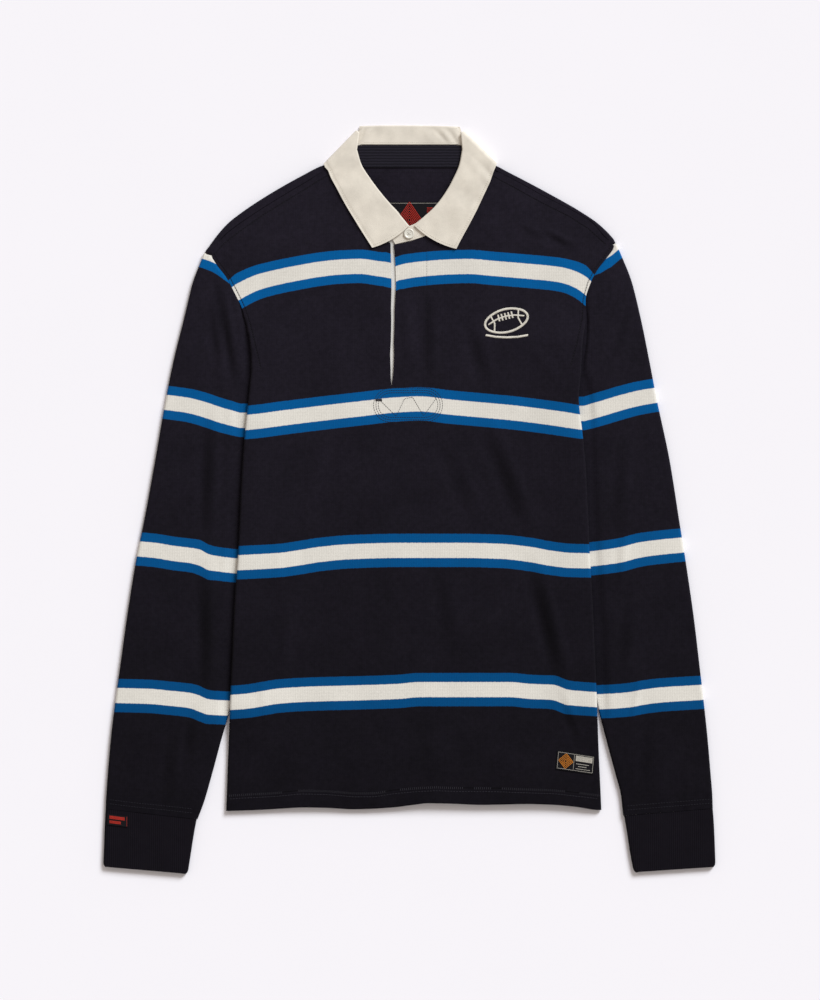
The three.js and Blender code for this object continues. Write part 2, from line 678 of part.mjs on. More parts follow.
const cloths = {
  navy: { color: 0x1a171e, roughness: 0.9 },
  ivory: { color: 0xd9d2c7, roughness: 0.85 },
  tape: { color: 0x232128, roughness: 0.9 },
  label: { color: 0x17151b, roughness: 0.8 },
  pearl: { color: 0xe6e2d8, roughness: 0.35 },
};

const garment = new THREE.Group();
garment.name = "rugby_shirt";

function addPiece(name, solid, cloth) {
  const material = new THREE.MeshStandardMaterial({ ...cloths[cloth], name: cloth });
  const mesh = new THREE.Mesh(geometryOf(solid), material);
  mesh.name = name;
  garment.add(mesh);
}

// Body
const frontGrid = panelGrid(FRONT_LEFT, FRONT_RIGHT, JERSEY, BODY_FOLDS, FRONT_SHARES);
const neckHole = outlinePrism(NECK_HOLE, -2, 14);
const wedge = outlinePrism(PLACKET_WEDGE, -2, 14);
const front = solidOf(clothWall(frontGrid, JERSEY)).subtract(neckHole).subtract(wedge);
addPiece("front", front, "navy");

const backGrid = panelGrid(BACK_LEFT, BACK_RIGHT, JERSEY, [], BACK_SHARES);
addPiece("back", solidOf(clothWall(backGrid, JERSEY)), "navy");

// Height of the front panel's middle at a point, for what lies on it or under it.
function frontSurface(x, y) {
  for (let i = 0; i < frontGrid.length - 1; i += 1) {
    const low = frontGrid[i];
    const high = frontGrid[i + 1];
    for (let j = ROLL_STEPS + RETURN_STEPS; j < low.length - ROLL_STEPS - RETURN_STEPS - 1; j += 1) {
      const down = [mix(low[j][1], low[j + 1][1], 0.5), mix(high[j][1], high[j + 1][1], 0.5)];
      const t = (y - down[0]) / (down[1] - down[0]);
      const xa = mix(low[j][0], high[j][0], t);
      const xb = mix(low[j + 1][0], high[j + 1][0], t);
      const s = (x - xa) / (xb - xa);
      if (t >= -0.001 && t <= 1.001 && s >= -0.001 && s <= 1.001) {
        const za = mix(low[j][2], high[j][2], t);
        const zb = mix(low[j + 1][2], high[j + 1][2], t);
        return mix(za, zb, s);
      }
    }
  }
  return FRONT_MIDDLE;
}

function patchGrid(corners, across, up, height) {
  const [a, b, c, d] = corners;
  const rows = [];
  for (let i = 0; i <= up; i += 1) {
    const row = [];
    for (let j = 0; j <= across; j += 1) {
      const s = j / across;
      const t = i / up;
      const x = mix(mix(a[0], b[0], s), mix(d[0], c[0], s), t);
      const y = mix(mix(a[1], b[1], s), mix(d[1], c[1], s), t);
      row.push([x, y, height(x, y)]);
    }
    rows.push(row);
  }
  return rows;
}

// Sleeves and cuffs
const sleeveOptions = { top: SLEEVE_TOP, folds: SLEEVE_FOLDS, even: false };
const CUFF_TOP = 4.6;
const cuffOptions = { top: CUFF_TOP, folds: [], even: true };

function shiftFirst(rings, armhole, distance) {
  const side = Math.sign(rings[0].ox);
  const moved = { ...rings[0], ox: rings[0].ox + side * distance, ix: rings[0].ix + side * distance };
  return [moved, ...rings.slice(1)];
}

function orient(grid, side) {
  return side > 0 ? grid.map((row) => [...row].reverse()) : grid;
}

const sleeveLeft = tubeGrid(shiftFirst(SLEEVE_LEFT, ARMHOLE_LEFT, 0.9), ARMHOLE_LEFT, sleeveOptions);
const sleeveRight = tubeGrid(shiftFirst(SLEEVE_RIGHT, ARMHOLE_RIGHT, 0.9), ARMHOLE_RIGHT, sleeveOptions);
const cuffLeft = tubeGrid(CUFF_LEFT, ARMHOLE_LEFT, cuffOptions);
const cuffRight = tubeGrid(CUFF_RIGHT, ARMHOLE_RIGHT, cuffOptions);
addPiece("sleeve_left", solidOf(clothWall(orient(sleeveLeft, 1), JERSEY, true)), "navy");
addPiece("sleeve_right", solidOf(clothWall(orient(sleeveRight, -1), JERSEY, true)), "navy");
addPiece("cuff_left", solidOf(clothWall(orient(cuffLeft, 1), JERSEY, true)), "navy");
addPiece("cuff_right", solidOf(clothWall(orient(cuffRight, -1), JERSEY, true)), "navy");

// Collar
const fallRulings = [
  ...flatRulings(FALL_LEFT, 1),
  ...foldRulings(FOLD_LEFT, 49),
  ...flatRulings(FALL_BACK, -1),
  ...foldRulings(FOLD_RIGHT, 51).reverse(),
  ...flatRulings(FALL_RIGHT, 1).reverse(),
];
const fallGrid = fallRulings.map((ruling) => stripSection(ruling, 1));
addPiece("collar", solidOf(clothWall(fallGrid, COLLAR)), "ivory");

const standRulings = [
  ...flatRulings(STAND_LEFT, 1),
  ...foldRulings(FOLD_LEFT, 27.5),
  ...flatRulings(STAND_BACK, -1),
  ...foldRulings(FOLD_RIGHT, 27.5).reverse(),
  ...flatRulings(STAND_RIGHT, 1).reverse(),
];
const standGrid = standRulings.map((ruling) => stripSection(ruling, -1));
addPiece("collar_stand", solidOf(clothWall(standGrid.map((row) => [...row].reverse()), COLLAR)), "ivory");

// Placket facing under the front
const UNDER_PLACKET = [[-30, 528], [8, 528], [8, 690], [-27, 690]];
const underPlacket = patchGrid(UNDER_PLACKET, 6, 9, (x, y) => frontSurface(x, y) - JERSEY / 2 - SEAM_GAP - TAPE / 2);
addPiece("placket_under", solidOf(clothWall(underPlacket, TAPE)), "ivory");

// Tape over the back neck seam and the labels
const NECK_TAPE = [[-53, 777], [53, 777], [57, 801], [-57, 801]];
const tapeGrid = patchGrid(NECK_TAPE, 8, 2, () => 2.6 + JERSEY / 2 + SEAM_GAP + TAPE / 2);
addPiece("neck_tape", solidOf(clothWall(tapeGrid, TAPE)), "tape");

const NECK_LABEL = [[-32, 694], [32, 694], [32, 739], [-32, 739]];
const neckLabel = patchGrid(NECK_LABEL, 4, 3, () => FLOOR + JERSEY / 2 + SEAM_GAP + TRIM / 2);
addPiece("neck_label", solidOf(clothWall(neckLabel, TRIM)), "label");

const HEM_LABEL = [[160.6, 115.8], [202.1, 109.7], [204, 129.8], [162.5, 136.3]];
const hemLabel = patchGrid(HEM_LABEL, 6, 3, (x, y) => frontSurface(x, y) + JERSEY / 2 + SEAM_GAP + TRIM / 2);
addPiece("hem_label", solidOf(clothWall(hemLabel, TRIM)), "label");

const CUFF_LABEL = [[-332, 54.5], [-309.5, 52], [-309.5, 63.5], [-332, 66.5]];
const cuffLabel = patchGrid(CUFF_LABEL, 4, 2, () => CUFF_TOP + JERSEY / 2 + SEAM_GAP + TRIM / 2);
addPiece("cuff_label", solidOf(clothWall(cuffLabel, TRIM)), "label");

// Button on the tab
const shank = wasm.Manifold.cylinder(BUTTON_THICKNESS, BUTTON_RADIUS, BUTTON_RADIUS, 28);
const dish = wasm.Manifold.cylinder(1, BUTTON_RADIUS - 2, BUTTON_RADIUS - 1.4, 28).translate([0, 0, BUTTON_THICKNESS - 0.5]);
let button = shank.subtract(dish);
for (const [hx, hy] of [[1, 1], [-1, 1], [-1, -1], [1, -1]]) {
  button = button.subtract(wasm.Manifold.cylinder(4, 0.6, 0.6, 10).translate([hx * 1.1, hy * 1.1, -1]));
}
const tabTop = 5.7 + COLLAR / 2;
addPiece("collar_button", button.translate([BUTTON_X, BUTTON_Y, tabTop + SEAM_GAP]), "pearl");

// Put the origin at the middle of the footprint, on the surface
const box = new THREE.Box3().setFromObject(garment);
const centre = box.getCenter(new THREE.Vector3());
for (const mesh of garment.children) {
  mesh.geometry.translate(-centre.x, -centre.y, -box.min.z);
}

export default garment;
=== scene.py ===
"""Rugby shirt laid flat: heavy navy cotton jersey with knitted stripes and an ivory twill collar."""

import math

import bmesh
import bpy
import numpy as np
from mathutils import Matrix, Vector
from mathutils.bvhtree import BVHTree


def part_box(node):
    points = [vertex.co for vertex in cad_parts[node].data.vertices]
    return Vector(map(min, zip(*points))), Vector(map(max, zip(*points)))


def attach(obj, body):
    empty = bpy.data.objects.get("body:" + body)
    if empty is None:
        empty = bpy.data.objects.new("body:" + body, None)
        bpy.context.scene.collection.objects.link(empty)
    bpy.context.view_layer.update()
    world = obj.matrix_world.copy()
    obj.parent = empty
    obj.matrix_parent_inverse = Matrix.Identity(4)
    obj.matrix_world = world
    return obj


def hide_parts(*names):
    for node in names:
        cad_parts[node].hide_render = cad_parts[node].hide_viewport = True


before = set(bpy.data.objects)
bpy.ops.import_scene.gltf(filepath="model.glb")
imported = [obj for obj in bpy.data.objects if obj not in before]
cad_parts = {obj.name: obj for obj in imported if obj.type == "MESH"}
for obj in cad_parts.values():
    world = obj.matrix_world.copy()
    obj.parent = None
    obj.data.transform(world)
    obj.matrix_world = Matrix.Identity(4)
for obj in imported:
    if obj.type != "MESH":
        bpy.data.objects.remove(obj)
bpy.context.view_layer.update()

# The garment is laid out in millimetres, with y up from its lowest point, and brought into the frame.
MM = 0.001
NECK_LABEL_LOW = 694.0
label_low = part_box("neck_label")[0]
MIDDLE_Y = NECK_LABEL_LOW - label_low.y / MM
SURFACE_Z = 0.02

# Cloth
JERSEY = 1.4
COLLAR = 1.4
TAPE = 1.0
TRIM = 0.8
SEAM_GAP = 0.3
FLOOR = JERSEY / 2

# Laid stack
COLLAR_AXIS = 4.25
COLLAR_RADIUS = 2.45
LAYER_STEP = 1.0
CORNER_EASE = 2.2
SLEEVE_TOP = 4.9
SLEEVE_LOW = 2.75
CUFF_TOP = 4.6
EDGE_RAMP = 62.0

# Knitted stripes, in millimetres of cloth
STRIPE_REPEAT = 156.0
WHITE_HALF = 8.3
STRIPE_HALF = 18.3
STRIPE_MARGIN = 2.0
SLOPE_REACH = 9.0

# How finely the cloth is drawn
PANEL_COLUMNS = 118
TUBE_COLUMNS = 44
COLLAR_STEPS = 15
SHARP_EDGE = math.radians(48)
BUTTON_SHARP_EDGE = math.radians(38)


def table(names, rows):
    keys = names.split()
    return {key: np.array([row[i] for row in rows], float) for i, key in enumerate(keys)}


# Panel sides: height up the cloth, laid edge, seam that its turned part reaches, degrees it turns,
# height of the cloth at the edge and at the seam, and height towards the middle
EDGE_COLUMNS = "y edge seam turn z end middle"
FRONT_LEFT = table(EDGE_COLUMNS, [
    (69.5, 201.5, 153.5, 180, 4.5, 0.7, 3.6),
    (97, 200.5, 152.5, 180, 4.5, 0.7, 3.8),
    (125.5, 199.5, 151.5, 180, 4.5, 0.7, 4.2),
    (158, 198.2, 150.2, 180, 6.2, 0.7, 4.6),
    (176, 197.6, 149.6, 180, 8.0, 0.7, 4.9),
    (191.5, 197, 149, 180, 8.6, 0.7, 4.9),
    (246.5, 194.5, 146.5, 180, 8.6, 0.7, 4.9),
    (301.5, 192, 144, 180, 8.6, 0.7, 4.9),
    (356.5, 188, 140, 180, 8.6, 0.7, 4.9),
    (411.5, 185.5, 137.5, 180, 8.6, 0.7, 4.9),
    (450, 183.5, 135.5, 180, 8.6, 0.7, 4.9),
    (476, 181.6, 134.5, 180, 8.6, 0.7, 4.9),
    (487, 180.7, 147, 180, 8.6, 4.8, 4.9),
    (499.5, 179.5, 151.5, 180, 8.6, 4.8, 4.9),
    (521.5, 177, 158, 180, 8.6, 4.8, 4.9),
    (540, 175.2, 162.8, 180, 8.6, 4.8, 4.9),
    (554.5, 173.8, 166.5, 180, 8.6, 4.8, 4.9),
    (570, 174, 170, 180, 8.6, 4.8, 4.9),
    (582, 175.2, 172, 140, 8.4, 4.8, 4.9),
    (594, 177, 176, 90, 7.4, 4.8, 4.9),
    (606, 179.3, 179, 45, 6.0, 4.8, 4.9),
    (622.5, 184.2, 184.2, 0, 5.0, 5.0, 4.9),
    (638, 191.7, 191.7, 0, 4.9, 4.9, 4.9),
    (656, 201.2, 201.2, 0, 4.9, 4.9, 5.0),
    (671, 212.4, 212.4, 0, 4.9, 4.9, 5.2),
    (679.6, 217, 217, 0, 4.9, 4.9, 5.3),
    (689.5, 213.6, 213.6, 0, 4.9, 4.9, 5.4),
    (702, 203, 203, 0, 5.0, 5.0, 5.5),
    (715, 186.5, 186.5, 0, 5.0, 5.0, 5.5),
    (730.5, 163.5, 163.5, 0, 5.1, 5.1, 5.5),
    (749, 133.5, 133.5, 0, 5.2, 5.2, 5.5),
    (760.5, 114, 114, 0, 5.4, 5.4, 5.5),
    (774, 92, 92, 0, 5.5, 5.5, 5.5),
    (781, 77.5, 77.5, 0, 5.5, 5.5, 5.5),
])
FRONT_RIGHT = table(EDGE_COLUMNS, [
    (70.5, 211, 163, 180, 4.5, 0.7, 3.6),
    (98, 209.8, 161.8, 180, 4.5, 0.7, 3.8),
    (125.5, 208.5, 160.5, 180, 4.5, 0.7, 4.2),
    (158, 207.2, 159.2, 180, 6.2, 0.7, 4.6),
    (176, 206.6, 158.6, 180, 8.0, 0.7, 4.9),
    (191.5, 206, 158, 180, 8.6, 0.7, 4.9),
    (246.5, 203.5, 155.5, 180, 8.6, 0.7, 4.9),
    (301.5, 201, 153, 180, 8.6, 0.7, 4.9),
    (356.5, 198, 150, 180, 8.6, 0.7, 4.9),
    (411.5, 195.5, 147.5, 180, 8.6, 0.7, 4.9),
    (450, 193.4, 145.4, 180, 8.6, 0.7, 4.9),
    (477, 191, 144, 180, 8.6, 0.7, 4.9),
    (489.5, 189.6, 156.5, 180, 8.6, 4.8, 4.9),
    (502, 188, 161, 180, 8.6, 4.8, 4.9),
    (522.5, 186, 169, 180, 8.6, 4.8, 4.9),
    (541, 187.4, 175.2, 180, 8.6, 4.8, 4.9),
    (556.5, 188.6, 180, 180, 8.6, 4.8, 4.9),
    (570, 189.3, 183.7, 180, 8.6, 4.8, 4.9),
    (585, 190.2, 186.2, 140, 8.4, 4.8, 4.9),
    (598, 191.8, 190, 90, 7.4, 4.8, 4.9),
    (611.5, 193.3, 193, 45, 6.0, 4.8, 4.9),
    (631.5, 193.7, 193.7, 0, 5.0, 5.0, 4.9),
    (649, 198.7, 198.7, 0, 4.9, 4.9, 4.9),
    (664.5, 206.7, 206.7, 0, 4.9, 4.9, 5.0),
    (678.5, 217.5, 217.5, 0, 4.9, 4.9, 5.2),
    (690, 224.6, 224.6, 0, 4.9, 4.9, 5.3),
    (702, 213, 213, 0, 4.9, 4.9, 5.4),
    (716, 201, 201, 0, 5.0, 5.0, 5.5),
    (729.5, 179, 179, 0, 5.0, 5.0, 5.5),
    (744.5, 149, 149, 0, 5.1, 5.1, 5.5),
    (760.5, 120, 120, 0, 5.2, 5.2, 5.5),
    (771, 99.5, 99.5, 0, 5.4, 5.4, 5.5),
    (774, 91, 91, 0, 5.5, 5.5, 5.5),
    (781, 77.5, 77.5, 0, 5.5, 5.5, 5.5),
])
BACK_LEFT = table(EDGE_COLUMNS, [
    (69.5, 152.7, 152.7, 0, 0.7, 0.7, 0.7),
    (125.5, 150.7, 150.7, 0, 0.7, 0.7, 0.7),
    (191.5, 148.2, 148.2, 0, 0.7, 0.7, 0.7),
    (301.5, 142.8, 142.8, 0, 0.7, 0.7, 0.7),
    (411.5, 136.3, 136.3, 0, 0.7, 0.7, 0.7),
    (477.5, 133.2, 133.2, 0, 0.7, 0.7, 0.7),
    (487, 145.8, 145.8, 0, 0.7, 0.7, 0.7),
    (521.5, 157.5, 157.5, 0, 0.7, 0.7, 0.7),
    (554.5, 166, 166, 0, 0.7, 0.7, 0.7),
    (582, 172.5, 172.5, 0, 0.7, 0.7, 0.7),
    (606, 178.5, 178.5, 0, 0.7, 0.7, 0.7),
    (622.5, 184, 184, 0, 0.7, 0.7, 0.7),
    (638, 191.4, 191.4, 0, 0.7, 0.7, 0.7),
    (656, 201, 201, 0, 0.7, 0.7, 0.7),
    (671, 211.4, 211.4, 0, 0.7, 0.7, 0.7),
    (679.5, 216.5, 216.5, 0, 0.7, 0.7, 0.7),
    (684, 224.9, 216.6, 180, 0.7, 4.9, 0.7),
    (689.5, 220.6, 213.8, 180, 0.7, 4.9, 0.7),
    (702, 211.4, 203.9, 180, 0.7, 5.0, 0.7),
    (715, 199.8, 187.4, 180, 0.7, 5.0, 0.7),
    (730.5, 179.7, 164.4, 180, 0.7, 5.1, 0.7),
    (749, 150.9, 134.4, 180, 0.7, 5.2, 0.7),
    (760.5, 130.9, 114.9, 180, 1.9, 5.4, 1.9),
    (768, 117.0, 102.7, 180, 2.6, 5.4, 2.6),
    (777.5, 98.4, 85.8, 180, 2.6, 5.5, 2.6),
    (781, 86.8, 79, 180, 2.6, 5.5, 2.6),
    (784.5, 82.8, 78.4, 180, 2.6, 5.5, 2.6),
    (790, 74, 74, 0, 2.6, 2.6, 2.6),
    (795, 71, 71, 0, 2.6, 2.6, 2.6),
    (798.4, 62, 62, 0, 2.6, 2.6, 2.6),
    (801.6, 51, 51, 0, 2.6, 2.6, 2.6),
])
BACK_RIGHT = table(EDGE_COLUMNS, [
    (70.5, 162.2, 162.2, 0, 0.7, 0.7, 0.7),
    (125.5, 159.7, 159.7, 0, 0.7, 0.7, 0.7),
    (191.5, 157.2, 157.2, 0, 0.7, 0.7, 0.7),
    (301.5, 151.9, 151.9, 0, 0.7, 0.7, 0.7),
    (411.5, 146.4, 146.4, 0, 0.7, 0.7, 0.7),
    (478.5, 142.6, 142.6, 0, 0.7, 0.7, 0.7),
    (489.5, 155.3, 155.3, 0, 0.7, 0.7, 0.7),
    (522.5, 168.5, 168.5, 0, 0.7, 0.7, 0.7),
    (556.5, 179.5, 179.5, 0, 0.7, 0.7, 0.7),
    (585, 187, 187, 0, 0.7, 0.7, 0.7),
    (611.5, 192.5, 192.5, 0, 0.7, 0.7, 0.7),
    (631.5, 193.5, 193.5, 0, 0.7, 0.7, 0.7),
    (649, 198.4, 198.4, 0, 0.7, 0.7, 0.7),
    (664.5, 206.4, 206.4, 0, 0.7, 0.7, 0.7),
    (678.5, 215, 215, 0, 0.7, 0.7, 0.7),
    (688.5, 219.5, 219.5, 0, 0.7, 0.7, 0.7),
    (694, 226.6, 221.4, 180, 0.7, 4.9, 0.7),
    (702, 220.9, 213.9, 180, 0.7, 4.9, 0.7),
    (709, 214.0, 207.9, 180, 0.7, 5.0, 0.7),
    (716, 206.0, 201.9, 180, 0.7, 5.0, 0.7),
    (729.5, 185.7, 179.9, 180, 0.7, 5.1, 0.7),
    (744.5, 159.3, 149.9, 180, 0.7, 5.2, 0.7),
    (760.5, 129.6, 120.9, 180, 1.9, 5.4, 1.9),
    (771, 109.2, 100.4, 180, 2.6, 5.5, 2.6),
    (778, 96, 85.8, 180, 2.6, 5.5, 2.6),
    (781, 88.4, 79.5, 180, 2.6, 5.5, 2.6),
    (784.5, 84.6, 78.6, 180, 2.6, 5.5, 2.6),
    (790, 74, 74, 0, 2.6, 2.6, 2.6),
    (795, 71, 71, 0, 2.6, 2.6, 2.6),
    (798.4, 62, 62, 0, 2.6, 2.6, 2.6),
    (801.6, 51, 51, 0, 2.6, 2.6, 2.6),
])
ARMHOLE_LEFT = table("x y", [
    (-225.5, 683), (-219.3, 681.5), (-212.6, 671), (-201.5, 656), (-192, 638), (-184.5, 622.5),
    (-179, 606), (-173, 582), (-166.5, 554.5), (-158, 521.5), (-147, 486),
])
ARMHOLE_RIGHT = table("x y", [
    (227, 693.5), (225.8, 690.5), (218.2, 679), (207, 664.5), (199, 649), (194, 631.5),
    (193, 611.5), (187.5, 585), (180, 556.5), (169, 522.5), (156.5, 488.5),
])

# Sleeve rings: outer and inner end, share of the armhole's bow, and width that the body covers
RING_COLUMNS = "ox oy ix iy follow hidden"
SLEEVE_LEFT = table(RING_COLUMNS, [
    (-225.5, 683, -147, 486, 1, 137),
    (-231, 669, -150.3, 484.5, 0.62, 95),
    (-237, 653.5, -151, 483, 0.35, 70),
    (-248, 609.5, -151.5, 480, 0.12, 58),
    (-259, 565.5, -151.5, 477.5, 0, 45),
    (-268, 521.5, -151.5, 472, 0, 37),
    (-279.5, 455.5, -155.5, 430, 0, 32),
    (-291.5, 389.5, -166.5, 367.5, 0, 24),
    (-300.5, 345.5, -174, 325.5, 0, 19),
    (-311, 279.5, -184.5, 264, 0, 13),
    (-318, 229, -191.5, 216, 0, 8),
    (-322.5, 197, -197, 183.5, 0, 3),
    (-328.5, 147.5, -207, 147.5, 0, -9),
    (-331.5, 112, -216.5, 112, 0, -9),
    (-333.5, 84, -226, 79, 0, -9),
    (-334, 72, -233, 60.5, 0, -9),
])
SLEEVE_RIGHT = table(RING_COLUMNS, [
    (227, 693.5, 156.5, 488.5, 1, 150),
    (235, 675, 157, 486.5, 0.62, 103),
    (243.5, 653.5, 157.6, 485, 0.35, 72),
    (254.5, 609.5, 158.5, 482, 0.12, 60),
    (263.5, 565.5, 159, 478.5, 0, 48),
    (272, 521.5, 159.5, 473, 0, 40),
    (286, 455.5, 166, 430, 0, 33),
    (296.5, 389.5, 176, 367.5, 0, 25),
    (303.5, 345.5, 183, 325.5, 0, 20),
    (313, 279.5, 193.5, 264, 0, 14),
    (319, 229, 201, 216, 0, 8),
    (322.5, 199, 207, 185, 0, 3),
    (328, 147.5, 216.5, 147.5, 0, -9),
    (331, 112, 226, 112, 0, -9),
    (333, 87, 232.5, 87, 0, -9),
    (333.5, 72.5, 235, 64.5, 0, -9),
])
CUFF_LEFT = table(RING_COLUMNS, [
    (-334, 71.7, -234, 60.2, 0, -9),
    (-335, 54, -237, 44, 0, -9),
    (-335.8, 31, -240.5, 21.5, 0, -9),
    (-336.8, 8.4, -243.8, 0.4, 0, -9),
])
CUFF_RIGHT = table(RING_COLUMNS, [
    (333.5, 72.2, 236, 64.1, 0, -9),
    (334.8, 54, 239, 47, 0, -9),
    (335.8, 31, 242.6, 23.5, 0, -9),
    (336.6, 8.2, 246.6, 2.2, 0, -9),
])

# Collar rulings, from the roll line to the free edge or to the neck seam
FALL_LEFT = [
    (0, 712.5, -41, 688.5, 3), (-10.5, 725, -51.5, 705, 1), (-21.5, 737.5, -62, 722, 0),
    (-32, 750, -71.5, 738, 0), (-43.5, 765.5, -79.5, 753, 0), (-53, 781, -86, 765, 0),
    (-57.8, 797, -89.5, 773.5, 0),
]
FALL_RIGHT = [
    (5, 712.5, 51.5, 687.3, 3.5), (15, 722, 57.5, 699, 1), (27, 733, 65.5, 713.5, 0),
    (38, 747, 74.5, 731, 0), (47.5, 763.5, 82.5, 748, 0), (55, 781, 88.5, 761, 0),
    (58, 797, 92.5, 772.5, 0),
]
FALL_BACK = [
    (-54.2, 822.9, -59.6, 774, 0), (-30, 823.4, -34, 771.5, 0), (0, 823.4, 0, 771, 0),
    (30, 823, 34, 771.5, 0), (54.8, 822.1, 60, 774, 0),
]
FOLD_LEFT = (-58.2, 818.4, -93.5, 782.2)
FOLD_RIGHT = (59.6, 817.6, 96.4, 781.6)
STAND_LEFT = [
    (-2, 708.5, -2, 699.5, 3.6), (-8, 716, -10.5, 698, 3.6), (-10.5, 725, -18.5, 698, 3.8),
    (-21.5, 737.5, -33, 704.5, 5.3), (-32, 750, -48, 719, 5.7), (-43.5, 765.5, -62, 736, 5.7),
    (-53, 781, -71.5, 755.5, 5.7), (-57.8, 797, -76, 773, 5.7),
]
STAND_BACK = [
    (-51.6, 822.6, -53, 802.4, 2.8), (-30, 823.4, -32, 802.4, 2.8), (0, 823.4, 0, 802.4, 2.8),
    (30, 823, 32, 802.4, 2.8), (52.2, 821.8, 53.4, 802.4, 2.8),
]
STAND_RIGHT = [
    (-21, 702, -15.5, 692.5, 5.7), (-8.5, 710, -8, 694.5, 5.7), (5, 714.5, 3, 697, 5.7),
    (15, 722, 17, 701.5, 5.7), (27, 733, 33, 709, 5.7), (38, 747, 49.5, 721, 5.7),
    (47.5, 763.5, 63, 737, 5.7), (55, 781, 73, 755.5, 5.7), (58, 797, 77, 773, 5.7),
]
NECK_HOLE = [
    (-19.5, 692), (-32.5, 703.6), (-47, 718), (-60.5, 735.5), (-70.5, 755), (-75, 772), (-76, 790),
    (76, 790), (75, 772), (70.5, 755), (60.5, 736.5), (47, 720), (31.5, 708), (17, 700.6),
    (3, 696.1), (-8, 693.5),
]
PLACKET_WEDGE = [
    (-20.3, 702), (-20.8, 692), (-20.4, 675), (-19.9, 658), (-19.8, 645), (-20.0, 634),
    (-20.3, 622), (-20.0, 609), (-20.4, 586), (-21.2, 572), (-20.8, 558), (-20.6, 548),
    (-20.0, 537.5), (-19.3, 537.5), (-18.0, 548), (-17.2, 560), (-16.9, 572), (-17.1, 585),
    (-16.6, 598), (-16.4, 609), (-16.2, 622), (-15.6, 633), (-14.8, 645), (-14.9, 658),
    (-15.8, 675), (-16.9, 690), (-17.2, 702),
]
HEM_LIFT = table("x lift", [
    (-201, 0), (-164, 1.2), (-140, 2.6), (-116, 3.8), (-90, 3.2), (-62, 1.6), (-44, 2), (-16, 3.8),
    (6, 6.6), (20, 8.2), (46, 7.6), (79, 6.2), (105, 6.6), (129, 7), (156, 6.2), (182, 3.9), (204, 0.4),
    (210, 0),
])

# Middle line of each knitted stripe: the wave that the laid cloth gives it
BODY_STRIPES = [
    table("x y", [
        (-200, 632.6), (-191.6, 638.2), (-184.7, 642.1), (-177.8, 645.7), (-165.2, 651), (-148, 655.6),
        (-120.5, 661.2), (-98, 665), (-76.5, 667.3), (-54.5, 668.1), (-36, 665.8), (-18, 662.6),
        (-16.5, 659.5), (-10.5, 661.5), (11.5, 665), (44.5, 667.5), (66.5, 668), (88.5, 666.2),
        (132.5, 662.5), (155, 660.4), (168, 658.4), (178, 655.4), (187, 651.2), (195, 645.8),
        (204, 638.5),
    ]),
    table("x y", [
        (-179, 496.5), (-164.5, 498), (-142.5, 501), (-98.5, 506.5), (-54.5, 511.5), (-12.5, 516),
        (11.5, 517), (44.5, 513.5), (88.5, 509.5), (110.5, 507.5), (154.5, 502), (187.5, 497),
    ]),
    table("x y", [
        (-186.5, 342.5), (-142.5, 345), (-120.5, 348), (-98.5, 351.5), (-65.5, 354.5), (-10.5, 356),
        (55.5, 356), (99.5, 355), (132.5, 351.5), (154.5, 347.5), (176.5, 345), (198.5, 344.5),
    ]),
    table("x y", [
        (-196.5, 189), (-177.5, 190.5), (-162, 193), (-142.5, 196), (-109.5, 198), (-54.5, 199.5),
        (-12.5, 201), (11.5, 203), (110.5, 203), (132.5, 201), (157, 200), (174.5, 194.5), (206.5, 192),
    ]),
]
LEFT_STRIPES = [
    table("x y", [
        (-236, 687.4), (-228.6, 685.5), (-220, 683), (-212.5, 680), (-205, 675.8), (-197.5, 671),
        (-190, 665.4),
    ]),
    table("x y", [(-271, 519), (-258, 517.5), (-241.5, 515), (-225, 510.5), (-208.5, 505), (-186.5, 499)]),
    table("x y", [
        (-296.5, 357.5), (-280, 356), (-258, 352.5), (-241.5, 350.5), (-230.5, 348), (-220.5, 343),
        (-208.5, 341), (-192, 339),
    ]),
    table("x y", [
        (-320.5, 196.5), (-285.5, 195.5), (-263.5, 193.5), (-241.5, 191), (-230.5, 187.5),
        (-221.5, 184), (-199.5, 182.5),
    ]),
]
RIGHT_STRIPES = [
    table("x y", [(201, 676.5), (210.4, 682.9), (222.4, 690.7), (230.7, 697.3), (236, 700.5), (243, 704)]),
    table("x y", [(192, 506.5), (201, 509), (215, 513), (231.5, 518), (253.5, 523.5), (271, 526.5)]),
    table("x y", [(198.5, 346.5), (215, 348.5), (231.5, 351), (253.5, 356.5), (275.5, 359.5), (301, 362)]),
    table("x y", [
        (207.5, 189.5), (226, 190.5), (242.5, 192), (256, 194.5), (275.5, 197), (322, 200),
    ]),
]

